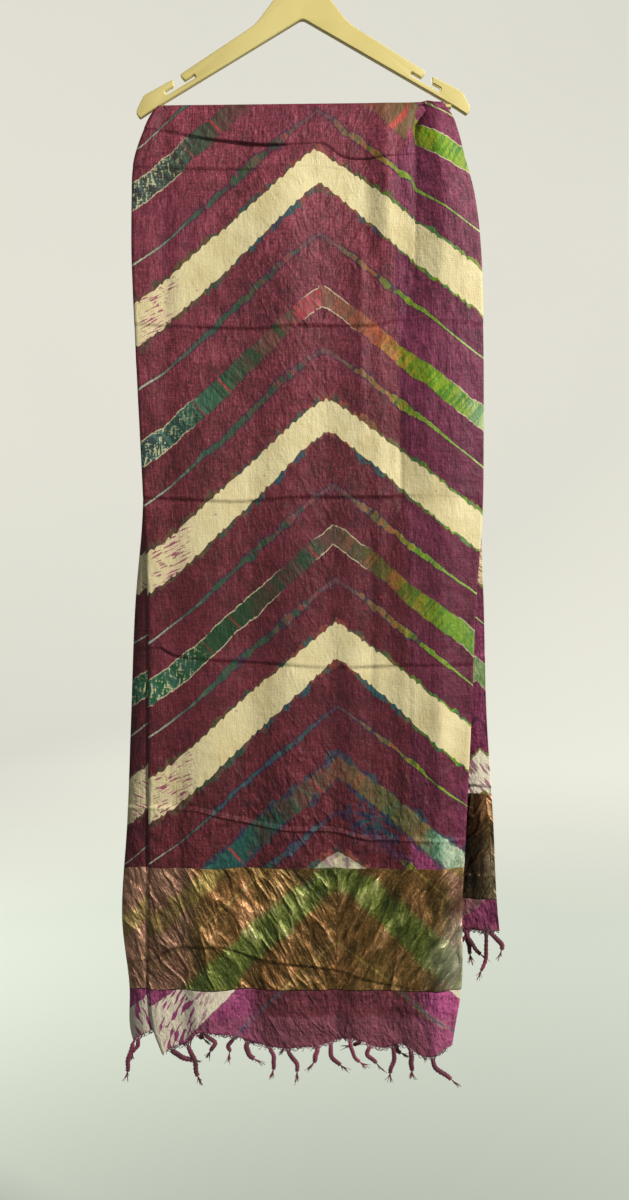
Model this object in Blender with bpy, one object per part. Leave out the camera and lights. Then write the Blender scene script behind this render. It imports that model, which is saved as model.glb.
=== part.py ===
"""Dupatta stole, folded in half along its length and hung over the bar of a flat moulded hanger.

Frame: metres, +Z up, X along the hanger, the viewer looks along +Y. The origin is the crown of the
hook's inner side, where a rail carries it. Tables are in millimetres. "drop" is measured down from
DROP_ZERO, and "depth" outward from the bar's middle plane: towards -Y on the front fall, +Y behind.
"""
import math

import bmesh
import bpy
import numpy as np
from mathutils import Matrix

MM = 0.001

# The hanger: a 440 mm wide plate with a bar, hung a little askew.
TILT = math.radians(0.66)        # the right arm rides this much higher
PLATE = 8.0                      # depth of the moulded arms
PLATE_EDGE = 1.2                 # rounding of the plate's edges
DROP_ZERO = -241.0               # height at which a drop of 0 lies
BAR_AXIS = -244.9                # height of the bar's middle line, below the hook's crown
BAR_HALF_DEPTH = 4.0
BAR_HALF_HEIGHT = 3.1
BAR_HALF_LENGTH = 197.0
BAR_SIDES = 12
BAR_OVERLAP = 2.0                # how far the arms' underside runs on past the bar's ends
EDGE_ANGLE = math.radians(60)    # corners sharper than this are rounded

# The hook: steel wire bent to a question mark and pushed into the plate's crown.
WIRE = 4.0
HOOK_INNER = 18.0                # inner radius of the loop
HOOK_MOUTH_ANGLE = 196.0         # degrees, where the loop's free end points
HOOK_NECK_ANGLE = -52.0          # degrees, where the loop turns into the stem
HOOK_STEM_TOP = -54.0            # height where the stem is straight
HOOK_ARC_POINTS, HOOK_BEND_POINTS = 22, 9
HOOK_SWING = 1.1                 # how far the bend below the loop swings out
SOCKET_DEPTH = 15.0
SOCKET_GAP = 0.35

# The cloth: one length, 924 mm wide, folded along its middle. The fold is at the right.
WALL = 1.2
PLY_GAP = 0.35                   # between bar, under ply and outer ply where they wrap the bar
SEAM = 0.3                       # parting between pieces that are one cloth
WRAP_ROWS = 4
ROW_GATHER = 0.35                # how much closer the rows lie near the bar than near the hem
ARC_COLUMNS = 3
FOLD_FADE = 40.0                 # a fold dies out over this much drop past each of its ends
EDGE_CLOSE = 0.55                # share of the gap by which the outer selvage lies back on the under ply,
EDGE_REACH = 16.0                # how far in from the selvage,
EDGE_DROP = 120.0                # and the drop at which it has come about
STRIP = 6.0                      # height of the hem strip that carries the tassels
UNDER_SHARE = 0.45               # how far the under ply follows the outer ply's folds

# A row for each section of the front fall: its drop, the X of the outer selvage, of the fold and of
# the under selvage, and the depth of the outer and the under ply.
FRONT_SECTIONS = (
    #  drop  selvage    fold   under  outer  under_depth
    (0.0,    -183.5,   188.5, -181.0,  6.5,   5.0),
    (14.0,   -197.0,   199.0, -190.0,  8.0,   5.2),
    (40.0,   -209.5,   207.5, -201.0,  9.4,   5.4),
    (75.0,   -221.0,   215.5, -212.0, 10.0,   5.6),
    (124.0,  -224.0,   228.0, -217.0, 10.4,   5.7),
    (200.0,  -223.5,   237.0, -218.0, 10.8,   5.8),
    (300.0,  -219.5,   240.5, -214.0, 11.2,   6.0),
    (440.0,  -212.5,   241.5, -209.0, 11.8,   6.2),
    (550.0,  -207.0,   240.0, -210.0, 12.6,   6.6),
    (660.0,  -202.5,   232.0, -218.7, 13.4,   7.2),
    (820.0,  -201.3,   225.3, -224.5, 15.0,   8.0),
    (950.0,  -201.0,   219.0, -229.0, 16.4,   8.8),
    (1070.0, -200.8,   213.3, -236.0, 17.6,   9.4),
    (1170.0, -200.7,   212.0, -226.0, 18.4,   9.8),
    (1225.0, -194.7,   203.0, -225.0, 18.8,  10.0),
    (1262.0, -181.0,   197.0, -214.0, 19.0,  10.0),
)
BACK_SECTIONS = (
    #  drop  selvage    fold   under  outer  under_depth
    (0.0,    -183.5,   188.5, -181.0,  6.5,   5.0),
    (14.0,   -195.0,   198.0, -189.0,  8.0,   5.2),
    (40.0,   -206.0,   205.0, -199.0,  9.4,   5.4),
    (75.0,   -216.0,   213.0, -209.0, 10.2,   5.6),
    (124.0,  -220.0,   223.0, -214.0, 10.8,   5.8),
    (200.0,  -219.0,   231.0, -215.0, 11.4,   6.2),
    (300.0,  -216.0,   236.0, -212.0, 12.0,   6.8),
    (440.0,  -210.0,   239.0, -208.0, 12.8,   7.6),
    (550.0,  -206.0,   241.0, -205.0, 14.0,   8.4),
    (660.0,  -203.0,   244.5, -201.0, 15.4,   9.2),
    (811.0,  -200.0,   247.6, -197.0, 17.4,  10.4),
    (952.0,  -198.0,   256.5, -195.0, 19.2,  11.4),
    (1059.0, -197.0,   261.3, -196.0, 20.4,  12.0),
    (1105.0, -196.0,   265.5, -198.0, 21.0,  12.4),
)

# A row for each long fold, as a ridge that runs from one place to the other: X, drop and rise at its
# top and its foot, and its half width. A rise below 0 is a valley.
FRONT_FOLDS = (
    # x_top  drop   rise   x_foot  drop    rise  half_width
    (-189.0,   4.0,  3.6, -203.0,   95.0,  0.8,   6.5),
    (-205.0, 120.0,  1.2, -184.0, 1262.0,  3.6,  15.0),
    (-166.0, 120.0,  0.4, -150.0, 1262.0, -3.6,  10.0),
    (-130.0,  60.0,  1.0, -118.0, 1262.0,  5.0,  26.0),
    (-62.0,  200.0,  0.2,  -66.0, 1262.0, -5.0,  24.0),
    (-20.0,   40.0,  0.8,  -12.0, 1262.0,  5.4,  28.0),
    (24.0,    30.0,  0.4,   48.0, 1262.0, -3.4,  14.0),
    (62.0,   120.0,  0.6,   78.0, 1262.0,  4.6,  20.0),
    (109.0,   10.0,  1.2,   98.0,  980.0,  2.8,  12.0),
    (186.0,    4.0,  2.4,  202.0,  600.0,  2.6,  14.0),
    (184.0,  560.0,  2.8,  180.0, 1262.0,  6.4,  15.0),
)
BACK_FOLDS = (
    # x_top  drop   rise   x_foot  drop    rise  half_width
    (-188.0,   4.0,  3.4, -200.0,   90.0,  0.8,   7.0),
    (-168.0,  10.0,  2.4, -176.0,  500.0,  2.4,  14.0),
    (-176.0, 500.0,  2.4, -170.0, 1110.0,  5.0,  20.0),
    (-128.0, 120.0,  0.4, -120.0, 1110.0, -5.4,  18.0),
    (-84.0,   50.0,  1.2,  -74.0, 1110.0,  6.6,  28.0),
    (-22.0,  200.0,  0.3,  -18.0, 1110.0, -6.0,  22.0),
    (30.0,    30.0,  1.4,   42.0, 1110.0,  6.4,  26.0),
    (92.0,   160.0,  0.4,   98.0, 1110.0, -5.0,  18.0),
    (182.0,    4.0,  3.0,  200.0,  560.0,  2.0,  13.0),
)

# Terraces: long slopes down the cloth, across which it steps towards the viewer, or back where the rise
# is below 0. A row for each place down a slope: its drop, the X where it starts, its width and its rise.
FRONT_TERRACES = (
    #  drop       x  width   rise
    ((60.0,    -120.0,  100.0,    0.0),
     (130.0,   -121.0,  100.0,    5.0),
     (200.0,   -121.0,   98.0,    6.0),
     (300.0,   -121.0,   98.0,    3.5),
     (420.0,   -120.0,   98.0,    0.0)),
    ((60.0,     -12.0,   70.0,    0.0),
     (130.0,     -9.0,   65.0,   -6.0),
     (200.0,     -9.0,   62.0,   -7.0),
     (300.0,     -9.0,   60.0,   -4.0),
     (420.0,     -8.0,   60.0,    0.0)),
    ((8.0,       84.0,   26.0,    0.4),
     (60.0,      84.0,   26.0,    4.0),
     (160.0,     84.0,   28.0,    4.8),
     (230.0,     90.0,   28.0,    2.0),
     (290.0,     96.0,   26.0,    0.0)),
    ((8.0,      150.0,   16.0,    1.2),
     (40.0,     148.0,   22.0,    4.6),
     (130.0,    146.0,   36.0,    9.5),
     (220.0,    138.0,   36.0,    9.5),
     (300.0,    130.0,   36.0,    8.5),
     (420.0,    126.0,   34.0,    7.6),
     (520.0,    134.0,   36.0,    6.8),
     (600.0,    110.0,   55.0,    5.6),
     (760.0,    104.0,   60.0,    7.0),
     (1000.0,   115.0,   45.0,    5.0),
     (1262.0,   120.0,   40.0,    5.0)),
    ((8.0,      178.0,   24.0,   -1.0),
     (60.0,     184.0,   28.0,   -5.5),
     (160.0,    194.0,   36.0,  -10.0),
     (300.0,    198.0,   36.0,   -9.5),
     (420.0,    202.0,   34.0,   -7.5),
     (560.0,    196.0,   34.0,   -6.5),
     (760.0,    186.0,   34.0,   -7.5),
     (1000.0,   182.0,   28.0,   -6.0),
     (1262.0,   174.0,   20.0,   -5.0)),
)
BACK_TERRACES = (
    #  drop       x  width   rise
    ((60.0,    -112.0,   80.0,    0.0),
     (180.0,   -110.0,   80.0,    5.0),
     (600.0,   -104.0,   76.0,    4.0),
     (1110.0,   -98.0,   70.0,    5.0)),
    ((60.0,      36.0,   60.0,    0.0),
     (220.0,     40.0,   60.0,   -5.0),
     (640.0,     44.0,   56.0,   -3.5),
     (1110.0,    50.0,   60.0,   -5.0)),
)
TERRACE_SOFT = 0.3               # share of a terrace's slope that eases in and out; the rest is straight
TERRACE_UNDER = 0.75             # how far the under ply follows the terraces

# The pleat near the right end, where the cloth is tucked under itself on the bar and opens out below.
# A row for each section: its drop, its X, the rise of the lip on its left and the sink beside it.
FRONT_PLEAT = (
    # drop     x     lip  sink
    (0.0,    162.0,  1.4,  0.2),
    (14.0,   156.0,  2.2,  0.8),
    (40.0,   150.0,  2.4,  2.2),
    (110.0,  149.0,  1.8,  2.4),
    (224.0,  146.5,  1.2,  2.0),
    (285.0,  136.0,  1.0,  1.8),
    (340.0,  129.5,  1.0,  2.0),
    (500.0,  129.5,  1.2,  2.8),
    (600.0,  136.0,  1.6,  2.4),
    (850.0,  141.0,  1.8,  2.8),
    (1060.0, 145.0,  2.0,  3.0),
    (1262.0, 148.0,  2.2,  3.2),
)
BACK_PLEAT = (
    # drop     x     lip  sink
    (0.0,    162.0,  2.0,  0.2),
    (14.0,   157.0,  3.2,  0.8),
    (40.0,   152.0,  3.8,  2.0),
    (160.0,  147.0,  3.4,  2.4),
    (400.0,  140.0,  3.4,  2.6),
    (750.0,  144.0,  4.4,  3.4),
    (1110.0, 150.0,  5.2,  4.2),
)
PLEAT_COLUMN = 0.72              # share of the columns that lie left of the pleat
PLEAT_CLOSER = 0.55              # how much closer the columns lie beside it than far from it
LIP_OFFSET, LIP_HALF = -7.0, 7.5
SINK_OFFSET, SINK_HALF = 2.5, 4.0
CREST_BUMP = 2.4                 # the tucked cloth stands this much higher on the bar,
BUMP_PLACE, BUMP_HALF = 168.0, 7.0  # at this X and with this half width

# A row for each place along the hem: the share of the way from the selvage to the fold, and its drop.
FRONT_HEM = (
    # share  drop
    (0.00, 1258.0), (0.04, 1249.0), (0.10, 1243.0), (0.16, 1227.0), (0.26, 1232.0), (0.36, 1245.0),
    (0.53, 1246.0), (0.67, 1235.0), (0.78, 1248.0), (0.84, 1242.0), (0.92, 1257.0), (1.00, 1245.0),
)
FRONT_UNDER_HEM = ((0.00, 1239.0), (0.06, 1227.0), (0.50, 1232.0), (1.00, 1245.0))
BACK_HEM = ((0.00, 1106.0), (0.15, 1098.0), (0.35, 1106.0), (0.60, 1096.0), (0.85, 1105.0), (1.00, 1101.0))
BACK_UNDER_HEM = ((0.00, 1096.0), (0.30, 1102.0), (0.70, 1094.0), (1.00, 1101.0))

FRONT = {"sections": FRONT_SECTIONS, "folds": FRONT_FOLDS, "pleat": FRONT_PLEAT, "terraces": FRONT_TERRACES,
         "outer_hem": FRONT_HEM, "under_hem": FRONT_UNDER_HEM,
         "outer_columns": 26, "under_columns": 8, "rows": 28}
BACK = {"sections": BACK_SECTIONS, "folds": BACK_FOLDS, "pleat": BACK_PLEAT, "terraces": BACK_TERRACES,
        "outer_hem": BACK_HEM, "under_hem": BACK_UNDER_HEM,
        "outer_columns": 21, "under_columns": 8, "rows": 24}

# The back fall's folded edge rolls forward below the front fall's edge, like the hook of a J.
CURL_DROP = 520.0                # where the roll begins
CURL_FULL = 980.0                # where it is full
CURL_WIDTH = 24.0                # from the folded edge
CURL_FORWARD = 17.0

# A row for each tassel that hangs from the front fall's outer hem: its X, how far its tip lies to the
# side, how far it bows out on the way, and its length.
FRONT_TASSELS = (
    # x       tip_dx   bow   length
    (-171.0,   27.0,  -4.0,  22.0), (-149.0,   14.0,   1.0,  49.0), (-126.0,    8.0,   9.0,  29.0),
    (-88.0,    -7.0,  -3.0,  26.0), (-70.0,     9.0,  -6.0,  30.0), (-42.0,     4.0,   5.0,  37.0),
    (-18.0,    15.0,   2.0,  36.0), (22.0,     -6.0,   1.0,  28.0), (40.0,     10.0,  -5.0,  37.0),
    (65.0,     12.0,  -4.0,  36.0), (91.0,      8.0,  -7.0,  30.0), (122.0,    -4.0,   2.0,  42.0),
    (143.0,     1.0,   2.0,  36.0), (172.0,    24.0,  -6.0,  35.0),
)
FRONT_UNDER_TASSELS = ((-222.0, -9.0, 0.0, 48.0), (-214.0, -6.0, 1.0, 26.0))
# A row for each of the other hems: the first and last X, the step between tassels, their least and
# greatest length, and the seed of their unevenness.
FRONT_UNDER_RULE = (-176.0, 190.0, 50.0, (16.0, 24.0), 5)
BACK_OUTER_RULE = (-185.0, 255.0, 34.0, (28.0, 46.0), 7)
BACK_UNDER_RULE = (-176.0, 255.0, 44.0, (22.0, 40.0), 11)
TASSEL_HALF = 2.0                # half the side of a tassel's square section at its root
TASSEL_TIP_HALF = 1.2
TASSEL_RINGS = 4
TASSEL_STRAY = 4.0               # how far a root may lie from its even place
TASSEL_LEAN, TASSEL_BOW = 9.0, 6.0
TASSEL_STAND = 0.25              # how far a tassel stands off the cloth, as a share of its bow


def smooth(table_x, table_y, at):
    """Cubic through a table's points, whose slopes are the mean of their two neighbours' chords."""
    xs, ys = np.asarray(table_x, float), np.asarray(table_y, float)
    chord = np.diff(ys) / np.diff(xs)
    slope = np.concatenate(([chord[0]], (chord[:-1] + chord[1:]) / 2, [chord[-1]]))
    slope[1:-1] = np.where(chord[:-1] * chord[1:] <= 0, 0.0, slope[1:-1])
    at = np.clip(at, xs[0], xs[-1])
    cell = np.clip(np.searchsorted(xs, at, side="right") - 1, 0, len(xs) - 2)
    span = xs[cell + 1] - xs[cell]
    t = (at - xs[cell]) / span
    return ((1 + 2 * t) * (1 - t) ** 2 * ys[cell] + t * (1 - t) ** 2 * span * slope[cell]
            + t * t * (3 - 2 * t) * ys[cell + 1] + t * t * (t - 1) * span * slope[cell + 1])


def ease(value):
    value = np.clip(value, 0.0, 1.0)
    return value * value * (3 - 2 * value)


def fold_relief(folds, x, drop):
    """Sum of the ridges: each a bell across its own line, which fades out past its two ends."""
    relief = np.zeros(np.broadcast(x, drop).shape)
    for x_top, top, rise_top, x_foot, foot, rise_foot, half_width in folds:
        along = np.clip((drop - top) / (foot - top), 0.0, 1.0)
        line = x_top + (x_foot - x_top) * along
        fade = ease((drop - top + FOLD_FADE) / FOLD_FADE) * ease((foot + FOLD_FADE - drop) / FOLD_FADE)
        rise = rise_top + (rise_foot - rise_top) * along
        relief += rise * fade * np.exp(-((x - line) / half_width) ** 2)
    return relief


def terrace_relief(terraces, x, drop):
    """Sum of the terraces: each climbs by its rise across its width and stays there beyond it."""
    relief = np.zeros(np.broadcast(x, drop).shape)
    for rows in terraces:
        at, start, width, rise = zip(*rows)
        t = np.clip((x - smooth(at, start, drop)) / smooth(at, width, drop), 0.0, 1.0)
        relief += smooth(at, rise, drop) * ((1 - TERRACE_SOFT) * t + TERRACE_SOFT * ease(t))
    return relief


def crest_height(x):
    """The bar's middle line: it tilts with the hanger about the hook."""
    return BAR_AXIS + x * math.tan(TILT)


class Fall:
    """One fall of the folded cloth: outer ply, fold and under ply as a single grid of points."""

    def __init__(self, side, tables):
        self.side = side
        outer_columns, under_columns = tables["outer_columns"], tables["under_columns"]
        self.sections = list(zip(*tables["sections"]))
        self.folds = tables["folds"]
        self.pleat = list(zip(*tables["pleat"]))
        self.terraces = tables["terraces"]
        turn = np.linspace(0, math.pi, ARC_COLUMNS + 2)[1:-1]
        self.turn = np.concatenate((np.zeros(outer_columns), turn, np.full(under_columns, math.pi)))
        self.on_outer = (1 + np.cos(self.turn)) / 2
        self.outer = self.turn < math.pi / 2 + 0.01
        self.column = np.concatenate((np.linspace(0, 1, outer_columns), np.ones(ARC_COLUMNS),
                                      np.linspace(1, 0, under_columns)))
        self.rows = tables["rows"]
        selvage_hem = tables["outer_hem"][0][1]
        hem_share = self.shares(np.full_like(self.turn, selvage_hem))
        self.hem = np.where(self.outer, smooth(*zip(*tables["outer_hem"]), hem_share),
                            smooth(*zip(*tables["under_hem"]), hem_share))

    def edges(self, drop):
        selvage, fold, under, outer_depth, under_depth = (
            smooth(self.sections[0], self.sections[k], drop) for k in range(1, 6))
        return np.where(self.outer, selvage, under), fold, outer_depth, under_depth

    def shares(self, drop):
        """Where each column lies from selvage (0) to fold (1): on the outer ply one column is the pleat."""
        edge, fold, outer_depth, under_depth = self.edges(drop)
        reach = fold - (outer_depth - under_depth) / 2 - edge
        pleat = (smooth(self.pleat[0], self.pleat[1], drop) - edge) / reach
        left = self.column / PLEAT_COLUMN
        right = (self.column - PLEAT_COLUMN) / (1 - PLEAT_COLUMN)
        closing = lambda t: t + PLEAT_CLOSER * t * (1 - t)
        left_share = pleat * closing(np.clip(left, 0, 1))
        right_share = pleat + (1 - pleat) * (1 - closing(1 - np.clip(right, 0, 1)))
        return np.where(self.outer, np.where(left < 1, left_share, right_share), self.column)

    def pleat_relief(self, x, drop):
        place, lip, sink = (smooth(self.pleat[0], self.pleat[k], drop) for k in (1, 2, 3))
        ridge = lip * np.exp(-((x - place - LIP_OFFSET) / LIP_HALF) ** 2)
        return ridge - sink * np.exp(-((x - place - SINK_OFFSET) / SINK_HALF) ** 2)

    def point(self, drop, wrap):
        """Middle surface at a drop for every column. wrap runs from 0 at the crest to 1 beside the bar."""
        edge, fold, outer_depth, under_depth = self.edges(drop)
        radius = (outer_depth - under_depth) / 2
        x = edge + (fold - radius - edge) * self.shares(drop) + radius * np.sin(self.turn)
        relief = fold_relief(self.folds, x, drop) + self.pleat_relief(x, drop)
        lying = EDGE_CLOSE * np.exp(-((x - edge) / EDGE_REACH) ** 2) * ease(drop / EDGE_DROP) * self.outer
        depth = under_depth + self.on_outer * (outer_depth - under_depth) * (1 - lying)
        depth = depth + relief * (UNDER_SHARE + (1 - UNDER_SHARE) * self.on_outer)
        stepped = terrace_relief(self.terraces, x, drop)
        depth = depth + stepped * (TERRACE_UNDER + (1 - TERRACE_UNDER) * self.on_outer)
        if self.side > 0:
            near_fold = ease((x - fold + CURL_WIDTH) / CURL_WIDTH)
            depth = depth - CURL_FORWARD * near_fold * ease((drop - CURL_DROP) / (CURL_FULL - CURL_DROP))
        height = BAR_HALF_HEIGHT + PLY_GAP + WALL / 2 + self.on_outer * (WALL + PLY_GAP)
        height = height + CREST_BUMP * self.on_outer * np.exp(-((x - BUMP_PLACE) / BUMP_HALF) ** 2)
        angle = wrap * math.pi / 2
        y = self.side * np.maximum(depth * np.sin(angle), SEAM / 2)
        z_wrap = crest_height(x) + height * np.cos(angle)
        z_down = DROP_ZERO - drop
        return np.stack((x, y, np.where(wrap < 1, z_wrap, z_down)), axis=-1) * MM

    def grid(self, foot):
        """Rows round the bar, then rows down to a line that lies foot above the hem."""
        start = DROP_ZERO - BAR_AXIS
        found = [self.point(np.zeros_like(self.hem), np.full_like(self.hem, k / WRAP_ROWS))
                 for k in range(WRAP_ROWS)]
        for step in np.linspace(0, 1, self.rows):
            share = ROW_GATHER * step ** 2 + (1 - ROW_GATHER) * step
            drop = start + (self.hem - foot - start) * share
            level = self.point(drop, np.ones_like(self.hem))
            if step == 0:
                level[:, 2] = crest_height(level[:, 0] / MM) * MM
            found.append(level)
        return np.array(found)

    def hem_line(self, above):
        return self.point(self.hem - above, np.ones_like(self.hem))


def material(name, colour, roughness, metallic=0.0):
    made = bpy.data.materials.new(name)
    made.use_nodes = True
    shader = made.node_tree.nodes["Principled BSDF"]
    shader.inputs["Base Color"].default_value = (*colour, 1)
    shader.inputs["Roughness"].default_value = roughness
    shader.inputs["Metallic"].default_value = metallic
    made.diffuse_color = (*colour, 1)
    return made


def place(name, mesh_or_curve, finish):
    made = bpy.data.objects.new(name, mesh_or_curve)
    made.data.materials.append(finish)
    bpy.context.collection.objects.link(made)
    return made


def cloth_fall(name, fall, finish):
    points = fall.grid(STRIP + SEAM)
    rows, columns = points.shape[:2]
    index = np.arange(rows * columns).reshape(rows, columns)
    quads = np.stack((index[:-1, :-1], index[1:, :-1], index[1:, 1:], index[:-1, 1:]), axis=-1)
    if fall.side > 0:
        quads = quads[..., ::-1]
    mesh = bpy.data.meshes.new(name)
    mesh.from_pydata(points.reshape(-1, 3).tolist(), [], quads.reshape(-1, 4).tolist())
    mesh.shade_smooth()
    made = place(name, mesh, finish)
    wall = made.modifiers.new("wall", "SOLIDIFY")
    wall.thickness = WALL * MM
    wall.offset = 0.0
    wall.use_even_offset = True
    return made


def tassels_by_rule(first, last, step, lengths, seed):
    """Tassels a step apart along the hem, each with its own lean, bow and length."""
    rng = np.random.default_rng(seed)
    either = lambda most: rng.uniform(-most, most)
    return [(at + either(TASSEL_STRAY), either(TASSEL_LEAN), either(TASSEL_BOW), rng.uniform(*lengths))
            for at in np.arange(first, last, step)]


def fringe(name, fall, outer_tassels, under_tassels, finish):
    """The hem strip with its tassels, in one body: each tassel is drawn down from the strip's lower edge."""
    top, foot = fall.hem_line(STRIP), fall.hem_line(0.0)
    spans = np.linalg.norm(np.diff(foot[:, :2], axis=0), axis=1)
    run = np.concatenate(([0.0], np.cumsum(spans)))
    fold_column = int(np.argmax(foot[:, 0]))

    def run_at(x, under):
        part = slice(fold_column, None) if under else slice(0, fold_column + 1)
        order = np.argsort(foot[part, 0])
        return float(np.interp(x * MM, foot[part, 0][order], run[part][order]))

    roots = sorted((run_at(row[0], under), *row[1:])
                   for under, rows in ((False, outer_tassels), (True, under_tassels)) for row in rows)
    half = TASSEL_HALF * MM
    roots = [row for row in roots if half * 2 < row[0] < run[-1] - half * 2]
    kept = [s for s in run if all(abs(s - row[0]) > 2 * half for row in roots)]
    stations = sorted([(s, None) for s in kept]
                      + [(row[0] - half, row) for row in roots] + [(row[0] + half, None) for row in roots],
                      key=lambda station: station[0])
    places = np.array([s for s, _ in stations])
    along = np.gradient(foot[:, :2], run, axis=0)
    normal = np.stack((-along[:, 1], along[:, 0]), axis=1)
    normal /= np.linalg.norm(normal, axis=1)[:, None]
    read = lambda values: np.stack([np.interp(places, run, values[:, k]) for k in range(values.shape[1])], 1)
    shift = np.hstack((read(normal) * WALL / 2 * MM, np.zeros((len(places), 1))))
    rings = np.stack((read(top) - shift, read(top) + shift, read(foot) + shift, read(foot) - shift), axis=1)

    body = bmesh.new()
    columns = [[body.verts.new(corner) for corner in ring] for ring in rings]
    for (here, there), (_, row) in zip(zip(columns, columns[1:]), stations):
        for a, b in ((0, 1), (1, 2), (3, 0)):
            body.faces.new((here[a], here[b], there[b], there[a]))
        loop = [here[2], here[3], there[3], there[2]]
        if row is None:
            body.faces.new(loop)
            continue
        _, tip_dx, bow, length = row
        root = sum(np.array(vert.co) for vert in loop) / 4
        ahead = np.array(there[3].co) - np.array(here[3].co)
        ahead[2] = 0.0
        ahead /= np.linalg.norm(ahead)
        across = np.array((-ahead[1], ahead[0], 0.0))
        corners = [-ahead + across, -ahead - across, ahead - across, ahead + across]
        for ring in range(1, TASSEL_RINGS + 1):
            t = ring / TASSEL_RINGS
            size = (TASSEL_HALF + (TASSEL_TIP_HALF - TASSEL_HALF) * t) * MM
            sideways = tip_dx * t + bow * math.sin(math.pi * t)
            lean = np.array((sideways, TASSEL_STAND * bow * t, -length * t)) * MM
            lower = [body.verts.new(root + lean + corner * size) for corner in corners]
            for k in range(4):
                body.faces.new((loop[k], loop[(k + 1) % 4], lower[(k + 1) % 4], lower[k]))
            loop = lower
        body.faces.new(loop)
    body.faces.new(columns[0])
    body.faces.new(columns[-1])
    bmesh.ops.recalc_face_normals(body, faces=body.faces)
    mesh = bpy.data.meshes.new(name)
    body.to_mesh(mesh)
    body.free()
    return place(name, mesh, finish)


# The right half of the plate's outline, from the crown's middle round the arm's end to the bar's
# underside: X from the hanger's middle, drop, and the radius that rounds the corner.
ARM_OUTLINE = (
    # x       drop   radius
    (13.0,  -168.0,   9.0),       # crown
    (37.0,  -141.0,  30.0),
    (62.0,  -108.0,  60.0),
    (164.5,  -41.5,   3.0),       # inner lip of the strap slot
    (157.5,  -34.0,   2.5),
    (148.5,  -39.5,   0.0),
    (144.5,  -42.5,   2.2),       # inner end of the slot
    (141.8,  -38.0,   2.2),
    (181.5,  -14.6,   2.2),       # outer end of the slot
    (184.6,  -19.6,   2.2),
    (172.2,  -26.9,   2.0),       # outer lip
    (171.5,  -36.6,   2.0),
    (212.0,  -15.0,  12.0),       # shoulder of the arm's end
    (223.5,    8.0,  12.0),
    (217.5,   15.6,   2.5),       # lowest point
)
INNER_TOP = -114.7                # drop of the triangle's top
INNER_CORNER = (185.5, -4.6)      # X and drop where the arm's underside nears the bar
INNER_TOP_RADIUS = 9.0
ARC_STEPS = 4                     # in each rounded corner
MOST_CUT = 0.48                   # share of a side that one corner's arc may take up


def rounded(outline):
    """Each corner is cut back and replaced by an arc that touches both of its sides."""
    found = []
    count = len(outline)
    for k, (x, drop, radius) in enumerate(outline):
        corner = np.array((x, drop))
        before = np.array(outline[k - 1][:2]) - corner
        after = np.array(outline[(k + 1) % count][:2]) - corner
        if radius <= 0:
            found.append(corner)
            continue
        u, v = before / np.linalg.norm(before), after / np.linalg.norm(after)
        half = math.acos(float(np.clip(u @ v, -1, 1))) / 2
        shorter = min(np.linalg.norm(before), np.linalg.norm(after))
        cut = min(radius / math.tan(half), MOST_CUT * shorter)
        reach = cut * math.tan(half)
        centre = corner + (u + v) / np.linalg.norm(u + v) * math.hypot(cut, reach)
        a, b = corner + u * cut - centre, corner + v * cut - centre
        turn = math.atan2(a[0] * b[1] - a[1] * b[0], a @ b)
        for step in np.linspace(0, 1, ARC_STEPS + 1):
            c, s = math.cos(turn * step), math.sin(turn * step)
            found.append(centre + np.array((a[0] * c - a[1] * s, a[0] * s + a[1] * c)))
    return found


def plate_points(outline):
    return [(x * MM, 0.0, (DROP_ZERO - drop) * MM) for x, drop in outline]


def extruded(name, outline, depth):
    """A flat outline in the XZ plane, drawn out to a plate about the plane Y = 0."""
    body = bmesh.new()
    face = body.faces.new([body.verts.new(co) for co in plate_points(outline)])
    bmesh.ops.translate(body, verts=body.verts, vec=(0, -depth / 2 * MM, 0))
    drawn = bmesh.ops.extrude_face_region(body, geom=[face])
    moved = [item for item in drawn["geom"] if isinstance(item, bmesh.types.BMVert)]
    bmesh.ops.translate(body, verts=moved, vec=(0, depth * MM, 0))
    bmesh.ops.recalc_face_normals(body, faces=body.faces)
    mesh = bpy.data.meshes.new(name)
    body.to_mesh(mesh)
    body.free()
    return mesh


def helper(name, mesh):
    made = bpy.data.objects.new(name, mesh)
    made.hide_render = True
    made.display_type = "WIRE"
    bpy.context.collection.objects.link(made)
    return made


def tube_mesh(name, radius_x, radius_y, length, sides):
    """A closed prism along Z whose section is an ellipse."""
    body = bmesh.new()
    bmesh.ops.create_cone(body, cap_ends=True, segments=sides, radius1=1.0, radius2=1.0, depth=length * MM)
    bmesh.ops.scale(body, verts=body.verts, vec=(radius_x * MM, radius_y * MM, 1.0))
    mesh = bpy.data.meshes.new(name)
    body.to_mesh(mesh)
    body.free()
    return mesh


def boolean(target, operation, tool):
    step = target.modifiers.new(tool.name, "BOOLEAN")
    step.operation = operation
    step.object = tool
    step.solver = "EXACT"


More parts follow.
